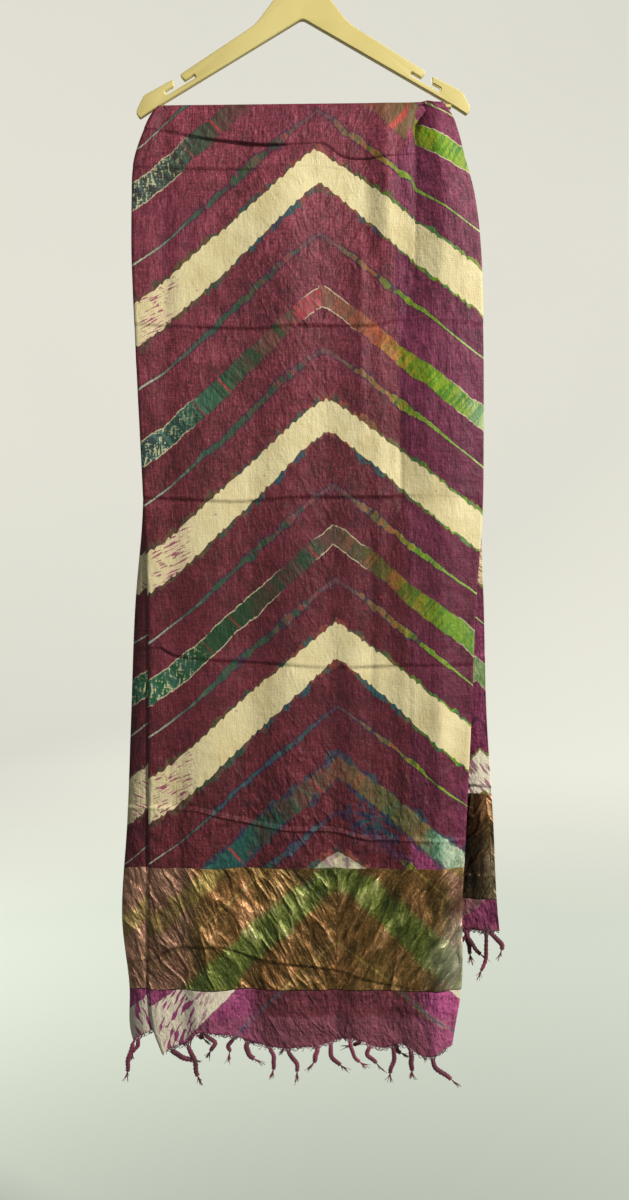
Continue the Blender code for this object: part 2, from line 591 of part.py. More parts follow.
def hanger_frame(root, finish):
    right = list(ARM_OUTLINE)
    left = [(-x, drop, radius) for x, drop, radius in reversed(right)]
    inner_x, inner_drop = INNER_CORNER
    slope = (inner_drop - INNER_TOP) / inner_x
    foot_x = BAR_HALF_LENGTH + BAR_OVERLAP
    foot_drop = INNER_TOP + slope * foot_x
    underside = [(-foot_x, foot_drop, 0.0), (0.0, INNER_TOP, INNER_TOP_RADIUS), (foot_x, foot_drop, 0.0)]
    outline = rounded(right[:] + underside[::-1] + left)
    arms = place("hanger_frame", extruded("hanger_frame", outline, PLATE), finish)
    edge = arms.modifiers.new("edge", "BEVEL")
    edge.width = PLATE_EDGE * MM
    edge.segments = 1
    edge.limit_method = "ANGLE"
    edge.angle_limit = EDGE_ANGLE
    bar_mesh = tube_mesh("bar_tool", BAR_HALF_HEIGHT, BAR_HALF_DEPTH, 2 * BAR_HALF_LENGTH, BAR_SIDES)
    bar = helper("bar_tool", bar_mesh)
    bar.matrix_world = Matrix.Translation((0, 0, BAR_AXIS * MM)) @ Matrix.Rotation(math.pi / 2, 4, "Y")
    socket_radius = WIRE / 2 + SOCKET_GAP
    crown = DROP_ZERO - ARM_OUTLINE[0][1]
    socket_mesh = tube_mesh("socket_tool", socket_radius, socket_radius, 2 * SOCKET_DEPTH, BAR_SIDES)
    socket = helper("socket_tool", socket_mesh)
    socket.location = (0, 0, crown * MM)
    for tool in (bar, socket):
        tool.parent = root
    boolean(arms, "UNION", bar)
    boolean(arms, "DIFFERENCE", socket)
    arms.parent = root
    return arms


def hook_route():
    """The loop's arc from its mouth over the top, then an S down to the stem, then straight down."""
    radius = HOOK_INNER + WIRE / 2
    centre = -HOOK_INNER
    angles = np.radians(np.linspace(HOOK_MOUTH_ANGLE, HOOK_NECK_ANGLE, HOOK_ARC_POINTS))
    arc = np.stack((radius * np.cos(angles), centre + radius * np.sin(angles)), axis=1)
    start, neck = arc[-1], np.array((0.0, HOOK_STEM_TOP))
    heading = np.array((math.sin(angles[-1]), -math.cos(angles[-1])))
    reach = float(np.linalg.norm(neck - start)) * HOOK_SWING
    t = np.linspace(0, 1, HOOK_BEND_POINTS)[1:, None]
    bend = ((1 - t) ** 2 * (1 + 2 * t) * start + t * (1 - t) ** 2 * reach * heading
            + t * t * (3 - 2 * t) * neck + t * t * (t - 1) * reach * np.array((0.0, -1.0)))
    crown = DROP_ZERO - ARM_OUTLINE[0][1]
    foot = np.array([[0.0, crown - SOCKET_DEPTH + SOCKET_GAP]])
    return np.concatenate((arc, bend, foot))


def hanger_hook(root, finish):
    curve = bpy.data.curves.new("hanger_hook", "CURVE")
    curve.dimensions = "3D"
    spline = curve.splines.new("POLY")
    route = hook_route()
    spline.points.add(len(route) - 1)
    for point, (x, z) in zip(spline.points, route):
        point.co = (x * MM, 0.0, z * MM, 1.0)
    curve.bevel_depth = WIRE / 2 * MM
    curve.bevel_resolution = 2
    curve.use_fill_caps = True
    made = place("hanger_hook", curve, finish)
    made.parent = root
    return made


def main():
    for leftover in list(bpy.data.objects):
        bpy.data.objects.remove(leftover)

    plastic = material("hanger_plastic", (0.56, 0.48, 0.26), 0.42)
    steel = material("hook_steel", (0.62, 0.61, 0.58), 0.3, 1.0)
    silk = material("wine_silk", (0.16, 0.03, 0.055), 0.55)
    thread = material("fringe_thread", (0.13, 0.02, 0.045), 0.7)

    root = bpy.data.objects.new("hanger", None)
    root.rotation_euler = (0.0, -TILT, 0.0)
    bpy.context.collection.objects.link(root)
    hanger_frame(root, plastic)
    hanger_hook(root, steel)

    front = Fall(-1, FRONT)
    back = Fall(+1, BACK)
    cloth_fall("front_fall", front, silk)
    cloth_fall("back_fall", back, silk)
    front_under = list(FRONT_UNDER_TASSELS) + tassels_by_rule(*FRONT_UNDER_RULE)
    fringe("front_fringe", front, FRONT_TASSELS, front_under, thread)
    fringe("back_fringe", back, tassels_by_rule(*BACK_OUTER_RULE), tassels_by_rule(*BACK_UNDER_RULE), thread)


main()
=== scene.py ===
import math

import bmesh
import bpy
import numpy as np
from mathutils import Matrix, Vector


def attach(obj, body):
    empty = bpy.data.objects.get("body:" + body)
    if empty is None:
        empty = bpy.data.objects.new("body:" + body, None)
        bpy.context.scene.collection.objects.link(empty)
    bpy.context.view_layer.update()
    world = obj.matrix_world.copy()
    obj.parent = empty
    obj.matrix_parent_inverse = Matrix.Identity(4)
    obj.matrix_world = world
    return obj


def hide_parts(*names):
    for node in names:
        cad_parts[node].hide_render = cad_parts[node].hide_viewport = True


mm = 0.001

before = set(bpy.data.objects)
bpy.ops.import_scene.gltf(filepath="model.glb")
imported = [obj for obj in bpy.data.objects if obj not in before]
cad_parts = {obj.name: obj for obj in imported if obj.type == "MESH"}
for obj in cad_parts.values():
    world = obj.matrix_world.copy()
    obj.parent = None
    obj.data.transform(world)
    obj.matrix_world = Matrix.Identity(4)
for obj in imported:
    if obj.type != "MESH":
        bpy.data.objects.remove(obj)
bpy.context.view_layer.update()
print("frame loaded")


class Shade:
    # One output socket of the material being made. Arithmetic on it adds Math nodes.
    tree = None

    def __init__(self, socket):
        self.socket = socket

    @staticmethod
    def node(kind, settings=None, inputs=None, out=0):
        made = Shade.tree.nodes.new("ShaderNode" + kind)
        for key, value in (settings or {}).items():
            if key == "stops":
                Shade.setStops(made.color_ramp, value)
            elif key == "blend":
                made.color_ramp.interpolation = value
            else:
                setattr(made, key, value)
        for key, value in (inputs or {}).items():
            if isinstance(value, Shade):
                Shade.tree.links.new(value.socket, made.inputs[key])
            else:
                made.inputs[key].default_value = value
        return Shade(made.outputs[out])

    @staticmethod
    def setStops(ramp, stops):
        while len(ramp.elements) > 1:
            ramp.elements.remove(ramp.elements[-1])
        for k, (place, colour) in enumerate(stops):
            element = ramp.elements[0] if k == 0 else ramp.elements.new(place)
            element.position = place
            element.color = colour

    def maths(self, operation, *others):
        return Shade.node("Math", {"operation": operation}, dict(enumerate((self, *others))))

    def __add__(self, other):
        return self.maths("ADD", other)

    def __sub__(self, other):
        return self.maths("SUBTRACT", other)

    def __rsub__(self, other):
        return Shade.node("Math", {"operation": "SUBTRACT"}, {0: other, 1: self})

    def __mul__(self, other):
        return self.maths("MULTIPLY", other)

    def __truediv__(self, other):
        return self.maths("DIVIDE", other)

    def __pow__(self, other):
        return self.maths("POWER", other)

    __radd__, __rmul__ = __add__, __mul__

    def __abs__(self):
        return self.maths("ABSOLUTE")

    def max(self, other):
        return self.maths("MAXIMUM", other)

    def min(self, other):
        return self.maths("MINIMUM", other)

    # 0 below low, 1 above high, with a soft step between
    def step(self, low, high):
        return Shade.node("MapRange", {"interpolation_type": "SMOOTHSTEP"}, {0: self, 1: low, 2: high})

    def fade(self, low, high):
        return 1 - self.step(low, high)


def mix(share, first, second, blend="MIX"):
    settings = {"data_type": "RGBA", "blend_type": blend}
    return Shade.node("Mix", settings, {0: share, 6: first, 7: second}, out=2)


def multiply(first, second):
    return mix(1, first, second, "MULTIPLY")


def vector(x, y, z=0.0):
    return Shade.node("CombineXYZ", None, {0: x, 1: y, 2: z})


def noise(place, scale, detail=2, rough=0.5):
    inputs = {"Vector": place, "Scale": scale, "Detail": detail, "Roughness": rough}
    return Shade.node("TexNoise", None, inputs)


# Noise at a place whose parts are scaled already.
def field(x, y, z=0, detail=2, rough=0.5):
    return noise(vector(x, y, z), 1, detail, rough)


# 1 where a value is nearer to 0 than near, and 0 beyond far.
def close(value, near, far):
    return abs(value).fade(near, far)


def ramp(value, stops, blend="LINEAR"):
    return Shade.node("ValToRGB", {"stops": stops, "blend": blend}, {0: value})


# sRGB levels from 0 to 255 to a linear colour
def tone(red, green, blue):
    level = np.array((red, green, blue)) / 255
    linear = np.where(level <= 0.04045, level / 12.92, ((level + 0.055) / 1.055) ** 2.4)
    return (*linear.tolist(), 1.0)


def newMaterial(name, constants):
    made = bpy.data.materials.new(name)
    made.use_nodes = True
    shader = made.node_tree.nodes["Principled BSDF"]
    for key, value in constants.items():
        shader.inputs[key].default_value = value
    Shade.tree = made.node_tree
    return made, shader


sockets = {"colour": "Base Color", "roughness": "Roughness", "metallic": "Metallic", "normal": "Normal",
           "emission": "Emission Color"}


def plug(shader, **sources):
    for key, source in sources.items():
        Shade.tree.links.new(source.socket, shader.inputs[sockets[key]])


def bump(height, distance, strength=1.0, under=None):
    inputs = {"Strength": strength, "Distance": distance, "Height": height}
    if under is not None:
        inputs["Normal"] = under
    return Shade.node("Bump", None, inputs)


# Cubic through a table's points, whose slopes are the mean of the two chords beside each point.
def smooth(tableX, tableY, at):
    xs, ys = np.asarray(tableX, float), np.asarray(tableY, float)
    chord = np.diff(ys) / np.diff(xs)
    slope = np.concatenate(([chord[0]], (chord[:-1] + chord[1:]) / 2, [chord[-1]]))
    slope[1:-1] = np.where(chord[:-1] * chord[1:] <= 0, 0.0, slope[1:-1])
    at = np.clip(at, xs[0], xs[-1])
    cell = np.clip(np.searchsorted(xs, at, side="right") - 1, 0, len(xs) - 2)
    span = xs[cell + 1] - xs[cell]
    t = (at - xs[cell]) / span
    return ((1 + 2 * t) * (1 - t) ** 2 * ys[cell] + t * (1 - t) ** 2 * span * slope[cell]
            + t * t * (3 - 2 * t) * ys[cell + 1] + t * t * (t - 1) * span * slope[cell + 1])


# 3 t squared less 2 t cubed, with t held between 0 and 1.
def ease(value):
    value = np.clip(value, 0.0, 1.0)
    return value * value * (3 - 2 * value)


# Random heights from -1 to 1 on a square lattice of the given size, blended smoothly between.
def softNoise(x, y, size, seed):
    squares, shift = 96, 40.0        # of the lattice before it repeats, and how far the origin is moved in
    lattice = np.random.default_rng(seed).uniform(-1, 1, (squares + 1, squares + 1))
    u, v = x / size + shift, y / size + shift
    column, row = np.floor(u).astype(int), np.floor(v).astype(int)
    a, b = ease(u - column), ease(v - row)
    column, row = column % squares, row % squares
    upper = lattice[row, column] * (1 - a) + lattice[row, column + 1] * a
    lower = lattice[row + 1, column] * (1 - a) + lattice[row + 1, column + 1] * a
    return upper * (1 - b) + lower * b


# Corners of the faces between a grid's points, closed across its first and last columns if asked.
def quadIndex(rows, columns, closed=False):
    index = np.arange(rows * columns).reshape(rows, columns)
    if closed:
        index = np.concatenate((index, index[:, :1]), axis=1)
    return np.stack((index[:-1, :-1], index[1:, :-1], index[1:, 1:], index[:-1, 1:]), axis=-1).reshape(-1, 4)


# A piece at the origin, with each point's distances along weft and warp as its UV map where it has them.
def meshPiece(name, points, quads, material, extraFaces=(), coords=None):
    mesh = bpy.data.meshes.new(name)
    mesh.from_pydata(points.reshape(-1, 3).tolist(), [], quads.tolist() + [list(face) for face in extraFaces])
    mesh.validate()
    mesh.shade_smooth()
    if coords is not None:
        layer = mesh.uv_layers.new(name="cloth")
        corner = np.empty(len(mesh.loops), dtype=np.int32)
        mesh.loops.foreach_get("vertex_index", corner)
        layer.data.foreach_set("uv", coords.reshape(-1, 2)[corner].ravel().astype(np.float32))
    mesh.materials.append(material)
    made = bpy.data.objects.new(name, mesh)
    bpy.context.collection.objects.link(made)
    return made


hang = {
    "tilt": math.radians(0.66),      # the right arm rides higher
    "dropZero": -241.0,              # height of drop 0, below the hook's crown
    "barAxis": -244.9,
    "barHalfHeight": 3.1,
}

cloth = {
    "width": 924.0,
    "padWall": 1.2,                  # wall and gaps that the plies' places on the bar are worked out from
    "padGap": 0.35,
    "thickness": 0.5,
    "underShare": 0.45,              # how far the under ply follows the outer ply's folds,
    "underPressed": 0.75,            # and what is pressed into both
    "foldFade": 40.0,
    "wrapRows": 7,
    "creaseWidth": 0.9,              # of a crease's own step, and the share of its swell that is kept
    "creaseShare": 0.8,
    "pressRound": (2.0, 1.4),        # rounds a pressed fold's ridge: added under the root, and taken off it
    "terraceEven": 0.7,              # share of a terrace's slope that is straight
    # height and size of the crumple's large and small folds and its broad swell, and of what bends them
    "crumple": ((0.9, 75), (0.6, 30), (0.7, 60), (18, 70)),
    "gather": 0.62,                  # how much closer the rows lie beside a crease
    "arcColumns": 7,
    "pleatColumn": 0.72,
    "pleatCloser": 0.35,
    "lip": (-7.0, 7.5),              # offset and half width of the ridge left of the pleat
    "sink": (2.5, 4.0),              # and of the valley beside it
    "bump": (168.0, 7.0, 2.4),       # X, half width and height of the bunched cloth on the bar
    "seam": 0.3,
    "tucks": (25.0, 8.0),            # widths that take in the bunched cloth, at the left and at the pleat
    "warpStart": (6.0, 9.6, 2.0),    # warp at the bar's side, over its top, and ahead of the drop below it
    # Shares by which the outer selvage lies back and the under ply leans forward to it, how far in they
    # reach, and the drops where this begins and is full.
    "lying": (0.3, 0.4, 35.0, 420.0, 720.0),
}

# Rows: drop, X of the outer selvage, the fold and the under selvage, depth of the outer and under ply.
frontFall = {
    "side": -1,
    "sections": (
        (0, -183.5, 188.5, -181, 6.5, 5), (14, -197, 199, -190, 8, 5.2),
        (40, -209.5, 207.5, -201, 9.4, 5.4), (75, -221, 215.5, -212, 10, 5.6),
        (124, -224, 228, -217, 10.4, 5.7), (200, -223.5, 237, -218, 10.8, 5.8),
        (300, -219.5, 240.5, -214, 11.2, 6), (440, -212.5, 241.5, -209, 11.8, 6.2),
        (550, -207, 240, -210, 12.6, 6.6), (660, -202.5, 232, -218.7, 13.4, 7.2),
        (820, -201.3, 225.3, -224.5, 15, 8), (950, -201, 219, -229, 16.4, 8.8),
        (1070, -200.8, 213.3, -236, 17.6, 9.4), (1170, -200.7, 212, -226, 18.4, 9.8),
        (1225, -194.7, 203, -225, 18.8, 10), (1262, -181, 197, -214, 19, 10),
    ),
    # Long folds: X, drop and rise at the top, the same at the foot, and the half width.
    "folds": (
        (-189, 4, 3.6, -203, 95, 0.8, 6.5), (-205, 120, 1.2, -184, 1262, 2.2, 15),
        (-130, 60, 1, -118, 1262, 3.4, 26), (-62, 200, 0.2, -66, 1262, -5, 24),
        (-20, 40, 0.8, -12, 1262, 5.4, 28), (24, 30, 0.4, 48, 1262, -3.4, 14),
        (62, 120, 0.6, 78, 1262, 4.6, 20), (109, 10, 1.2, 98, 980, 2.8, 12),
        (186, 4, 1.2, 202, 600, 1.2, 14), (184, 560, 2.8, 180, 1262, 6.4, 15),
    ),
    # The pleat: drop, X, rise of its lip, sink beside it.
    "pleat": (
        (0, 162, 1.4, 0.2), (14, 156, 2, 0.8), (40, 150, 1.2, 1.6), (110, 149, 0.5, 1.2),
        (224, 146.5, 0.3, 0.9), (285, 136, 0.3, 0.9), (340, 129.5, 0.3, 1), (500, 129.5, 0.3, 1.2),
        (600, 136, 0.3, 0.8), (850, 141, 0.3, 1), (1060, 145, 0.4, 1.2), (1262, 148, 0.5, 1.4),
    ),
    # Cloth that is bunched out of sight at the left end of the bar and inside the pleat: drop, left, pleat.
    "bunched": (
        (0, 44, 46), (14, 30, 36), (40, 19, 26), (75, 8, 17),
        (124, 0, 10), (200, 0, 1.5), (260, 0, 0),
    ),
    "outerHem": ((0, 1258), (0.04, 1249), (0.1, 1243), (0.16, 1227), (0.26, 1232), (0.36, 1245),
                 (0.53, 1246), (0.67, 1235), (0.78, 1248), (0.84, 1242), (0.92, 1257), (1, 1245)),
    "underHem": ((0, 1239), (0.06, 1227), (0.5, 1232), (1, 1245)),
    # Creases left by packing, from the bar down. Each has the reach of its swell above and below the line,
    # the rows of the mesh between it and the line before it, then X, drop and step along the line.
    # A step above 0 hangs over the cloth below it, and one below 0 lies under it.
    "creases": (
        (9, 6.5, 15, ((-240, 33, 0.6), (-183, 37, 1.6), (-132, 47, 3.4), (-100, 51, 4.2), (-40, 56, 4.4),
                      (-4, 55, 1.6), (25, 53, 1), (57, 72, 2), (80, 75, 2.2), (141, 71, 1), (250, 66, 0.3))),
        (8, 12, 12, ((-240, 84, 1.2), (-181, 87, 1.4), (-147, 89, 1.8), (-71, 89, 1.6), (-27, 84, 0.8),
                     (24, 85, 0.3), (120, 98, 0.3), (250, 104, 0.4))),
        (14, 20, 44, ((-240, 294, 0.6), (-170, 297, 1.8), (-60, 300, 1.8), (0, 296, 1.6), (90, 297, 1.8),
                      (130, 289, 0.8), (250, 297, 0.4))),
        (14, 20, 46, ((-240, 523, 1), (-150, 526, 2.2), (-90, 529, 1.6), (0, 523, 2), (110, 523, 2.2),
                      (139, 521, 0.8), (250, 524, 0.5))),
        (16, 10, 42, ((-240, 724, -1), (-186, 722, 1.8), (-172, 730, 2), (-128, 737, 1.8), (-50, 742, 2),
                      (39, 748, 1), (97, 747, 2), (137, 745, 1.2), (250, 744, 1.6))),
        (18, 34, 42, ((-240, 930, -0.6), (-169, 932, -1.6), (-135, 934, -2.2), (-100, 943, -2.4),
                      (-56, 953, -2.4), (-17, 959, -2.4), (43, 961, -2.2), (88, 971, -2.4),
                      (124, 972, -2.4), (159, 973, -1.6), (250, 974, -0.8))),
        (2, 6, 5, ((-240, 934, 0.3), (-169, 936, 0.8), (-135, 938, 1.2), (-100, 947, 1.5), (-56, 957, 1.5),
                   (-17, 963, 1.5), (43, 965, 1.2), (88, 975, 1.5), (124, 976, 1.2), (159, 977, 0.8),
                   (250, 978, 0.3))),
        (16, 18, 36, ((-240, 1136, 0.6), (-199, 1133, 1), (-167, 1118, 2), (-109, 1116, 2), (-55, 1133, 2.4),
                      (-3, 1139, 2.4), (57, 1149, 2), (100, 1162, 1.8), (141, 1168, 1), (250, 1172, 0.3))),
    ),
    "lastRows": 25,
    # Pressed folds down the cloth: reach to the left and right, then drop, X and height along each line.
    "pressed": (
        (7, 8, ((0, -184, 0.6), (12, -195, 2.6), (32, -206, 2.4), (60, -214, 0.8), (95, -221, 0))),
        (5, 6, ((0, -176, -0.6), (10, -183, -2.6), (22, -186, -2.8), (40, -190, -1.2), (70, -196, 0))),
        (26, 12, ((0, -179, -0.4), (60, -180, -1), (300, -178, -1.4), (480, -174, -1.2), (560, -168, -1),
                     (860, -162, -1), (1000, -157, -2.4), (1262, -152, -3))),
        (12, 36, ((0, -166, 0.8), (60, -165, 1.8), (300, -163, 2.2), (480, -158, 2.4), (560, -152, 1.4),
                     (860, -148, 1.6), (1000, -146, 4.2), (1180, -140, 4.8), (1262, -138, 4.2))),
        (14, 26, ((170, 86, 0), (220, 81, 5), (420, 82, 4.4), (480, 86, 0))),
        (12, 9, ((540, 92, 0), (620, 94, -3.2), (860, 97, -3), (1000, 102, -2), (1100, 104, 0))),
        (11, 24, ((532, 134, 0), (548, 136, 3.4), (700, 139, 2.2), (850, 143, 2.2), (1060, 146, 3.6),
                      (1262, 149, 3.6))),
        (6, 5, ((0, 161, -2), (10, 157, -4.6), (26, 152, -4.4), (50, 149, -1.5), (80, 148, 0))),
        (8, 12, ((0, 174, 1.2), (14, 176, 3), (40, 178, 2.6), (90, 182, 0))),
        (4, 7, ((2, 165, -1.5), (10, 158, -8), (25, 153, -8), (36, 149.5, -4.5), (48, 147, 0))),
        (7, 12, ((4, 113, 0.3), (60, 113, 1.2), (130, 117, 1.6), (180, 119, 1.2), (240, 122, 0))),
        (20, 38, ((120, -226, 0), (220, -226, 5.2), (480, -218, 3.6), (640, -218, 3), (760, -227, 4.2),
                      (1000, -233, 4.8), (1262, -230, 2.6))),
        (14, 14, ((480, 28, 0), (800, 35, 1.2), (1010, 34, 2.6), (1180, 31, 2.2))),
    ),
    # Terraces: drop, X where each slope starts, its width and its rise.
    "terraces": (
        ((60, -120, 100, 0), (130, -121, 100, 5), (200, -121, 98, 6),
         (300, -121, 98, 3.5), (420, -120, 98, 0)),
        ((60, -12, 70, 0), (130, -9, 65, -6), (200, -9, 62, -7),
         (300, -9, 60, -4), (420, -8, 60, 0)),
        ((8, 84, 26, 0.4), (60, 84, 26, 5), (160, 86, 28, 7), (230, 90, 28, 3.5),
         (300, 96, 26, 0)),
        ((8, 150, 16, 1.2), (40, 148, 26, 6), (130, 146, 42, 12.5), (220, 138, 46, 12.5),
         (300, 130, 44, 11.5), (420, 126, 42, 9.5), (520, 134, 40, 8), (600, 110, 55, 6.6),
         (760, 104, 60, 7), (1000, 115, 45, 5), (1262, 120, 40, 5)),
        ((8, 178, 24, -1), (60, 190, 26, -3), (160, 208, 32, -4), (300, 212, 30, -4),
         (420, 212, 30, -5), (560, 204, 32, -5.5), (760, 186, 34, -7.5),
         (1000, 182, 28, -6), (1262, 174, 20, -5)),
    ),
    "outerColumns": 141,
    "underColumns": 31,
    "seed": 3,
}

backFall = {
    "side": 1,
    "sections": (
        (0, -183.5, 188.5, -181, 6.5, 5), (14, -195, 198, -189, 8, 5.2),
        (40, -206, 205, -199, 9.4, 5.4), (75, -216, 213, -209, 10.2, 5.6),
        (124, -220, 223, -214, 10.8, 5.8), (200, -219, 231, -215, 11.4, 6.2),
        (300, -216, 236, -212, 12, 6.8), (440, -210, 239, -208, 12.8, 7.6),
        (550, -206, 241, -205, 14, 8.4), (660, -203, 244.5, -201, 15.4, 9.2),
        (811, -200, 247.6, -197, 17.4, 10.4), (952, -198, 256.5, -195, 19.2, 11.4),
        (1059, -197, 261.3, -196, 20.4, 12), (1105, -196, 265.5, -198, 21, 12.4),
    ),
    "folds": (
        (-188, 4, 3.4, -200, 90, 0.8, 7), (-168, 10, 2.4, -176, 500, 2.4, 14),
        (-176, 500, 2.4, -170, 1110, 5, 20), (-128, 120, 0.4, -120, 1110, -5.4, 18),
        (-84, 50, 1.2, -74, 1110, 6.6, 28), (-22, 200, 0.3, -18, 1110, -6, 22),
        (30, 30, 1.4, 42, 1110, 6.4, 26), (92, 160, 0.4, 98, 1110, -5, 18),
        (182, 4, 3, 200, 560, 2, 13),
    ),
    "pleat": (
        (0, 162, 2, 0.2), (14, 157, 3.2, 0.8), (40, 152, 3.8, 2), (160, 147, 3.4, 2.4),
        (400, 140, 3.4, 2.6), (750, 144, 4.4, 3.4), (1110, 150, 5.2, 4.2),
    ),
    "bunched": (
        (0, 44, 46), (14, 32, 37), (40, 22, 29), (75, 11, 22),
        (124, 3, 16), (200, 0, 12), (300, 0, 8), (400, 0, 0),
    ),
    "outerHem": ((0, 1106), (0.15, 1098), (0.35, 1106), (0.6, 1096), (0.85, 1105), (1, 1101)),
    "underHem": ((0, 1096), (0.3, 1102), (0.7, 1094), (1, 1101)),
    "creases": (
        (9, 12, 16, ((-240, 66, 1), (-120, 74, 2.6), (-30, 62, 2.2), (60, 70, 0.8), (250, 64, 1.6))),
        (10, 14, 20, ((-240, 160, 0.6), (-110, 168, 1.8), (10, 158, 0.6), (90, 166, 1.6), (250, 158, 0.5))),
        (14, 20, 28, ((-240, 292, 1), (-60, 287, 2), (90, 294, 1.2), (250, 286, 2))),
        (14, 20, 42, ((-240, 512, 1.6), (-90, 519, 2.2), (50, 510, 1.4), (160, 517, 2.2), (250, 508, 0.8))),
        (16, 18, 42, ((-240, 731, 1), (-110, 725, 2), (20, 737, 2.2), (130, 728, 1), (260, 734, 1.8))),
        (18, 30, 40, ((-240, 902, -1), (-90, 896, -2.2), (-10, 908, -2.4), (90, 899, -1.6), (270, 909, -2))),
        (14, 16, 26, ((-240, 1026, 1.2), (-120, 1037, 2.2), (-20, 1023, 1.4), (80, 1035, 2.2),
                      (270, 1024, 1))),
    ),
    "lastRows": 20,
    "pressed": (
        (7, 8, ((0, -184, 0.6), (12, -193, 2.6), (34, -203, 2.2), (60, -210, 0.8), (95, -216, 0))),
        (28, 10, ((0, -150, 0.6), (70, -152, 3.4), (420, -146, 3.6), (800, -140, 3), (1110, -134, 4))),
        (14, 24, ((120, 60, 0), (220, 64, 3.2), (560, 68, 3), (900, 74, 3.4), (1110, 78, 2.6))),
        (22, 18, ((0, 158, -0.8), (40, 151, -3.4), (300, 143, -4.4), (600, 141, -4.2), (900, 146, -3.4),
                      (1110, 150, -3))),
        (12, 14, ((30, -60, 0), (120, -58, 2.4), (400, -52, 1.2), (700, -48, 2.2), (1110, -44, 2.8))),
    ),
    "terraces": (
        ((60, -112, 80, 0), (180, -110, 80, 5), (600, -104, 76, 4), (1110, -98, 70, 5)),
        ((60, 36, 60, 0), (220, 40, 60, -5), (640, 44, 56, -3.5), (1110, 50, 60, -5)),
    ),
    # The folded edge's roll: the drops where it begins and is full, its width, how far in it ends, how far
    # it comes forward, and how far the under ply sinks beside it.
    "curl": (520, 880, 22, 20, 14.5, 4),
    "outerColumns": 131,
    "underColumns": 41,
    "seed": 8,
}


# Sum of the ridges: each a bell across its own line, which fades out past its two ends.
def foldRelief(folds, x, drop):
    fade = cloth["foldFade"]
    relief = np.zeros(np.broadcast(x, drop).shape)
    for xTop, top, riseTop, xFoot, foot, riseFoot, halfWidth in folds:
        along = np.clip((drop - top) / (foot - top), 0.0, 1.0)
        line = xTop + (xFoot - xTop) * along
        shown = ease((drop - top + fade) / fade) * ease((foot + fade - drop) / fade)
        relief += (riseTop + (riseFoot - riseTop) * along) * shown * np.exp(-((x - line) / halfWidth) ** 2)
    return relief


# A crease steps from above its line to below it, and each side's swell dies away along the drop.
def creaseRelief(creases, x, drop):
    relief = np.zeros(x.shape)
    for above, below, _, points in creases:
        lineX, lineDrop, step = zip(*points)
        past = drop - smooth(lineX, lineDrop, x)
        swell = np.exp(-np.abs(past) / np.where(past < 0, above, below))
        relief -= smooth(lineX, step, x) * np.tanh(past / cloth["creaseWidth"]) * swell * cloth["creaseShare"]
    return relief


# A pressed fold is a tent over its line: it falls off to the left and right by its own two reaches.
def pressedRelief(folds, x, drop):
    relief = np.zeros(x.shape)
    for left, right, points in folds:
        lineDrop, lineX, height = zip(*points)
        past = x - smooth(lineDrop, lineX, drop)
        shown = (drop >= lineDrop[0]) & (drop <= lineDrop[-1] + 1)
        added, taken = cloth["pressRound"]
        away = (np.sqrt(past ** 2 + added) - taken) / np.where(past < 0, left, right)
        relief += shown * smooth(lineDrop, height, drop) * np.exp(-away)
    return relief


# A terrace climbs by its rise across its width, most of it evenly, and stays there beyond it.
def terraceRelief(terraces, x, drop):
    even = cloth["terraceEven"]
    relief = np.zeros(x.shape)
    for rows in terraces:
        at, start, width, rise = zip(*rows)
        t = np.clip((x - smooth(at, start, drop)) / smooth(at, width, drop), 0.0, 1.0)
        relief += smooth(at, rise, drop) * (even * t + (1 - even) * ease(t))
    return relief


# Creased silk: folded noise, whose zero lines are sharp, at two sizes, with a soft unevenness below them.
def crumple(x, drop, seed):
    (large, largeSize), (small, smallSize), (broad, broadSize), (bend, bendSize) = cloth["crumple"]
    bentX = x + bend * softNoise(x, drop, bendSize, seed + 1)
    bentDrop = drop + bend * softNoise(x, drop, bendSize, seed + 2)
    folded = lambda u, v, size, draw: 0.5 - np.abs(softNoise(u, v, size, seed + draw))
    return (large * folded(bentX, bentDrop * 1.2, largeSize, 3)
            + small * folded(bentX * 1.1, bentDrop, smallSize, 4)
            + broad * softNoise(x, drop * 0.4, broadSize, seed + 5))


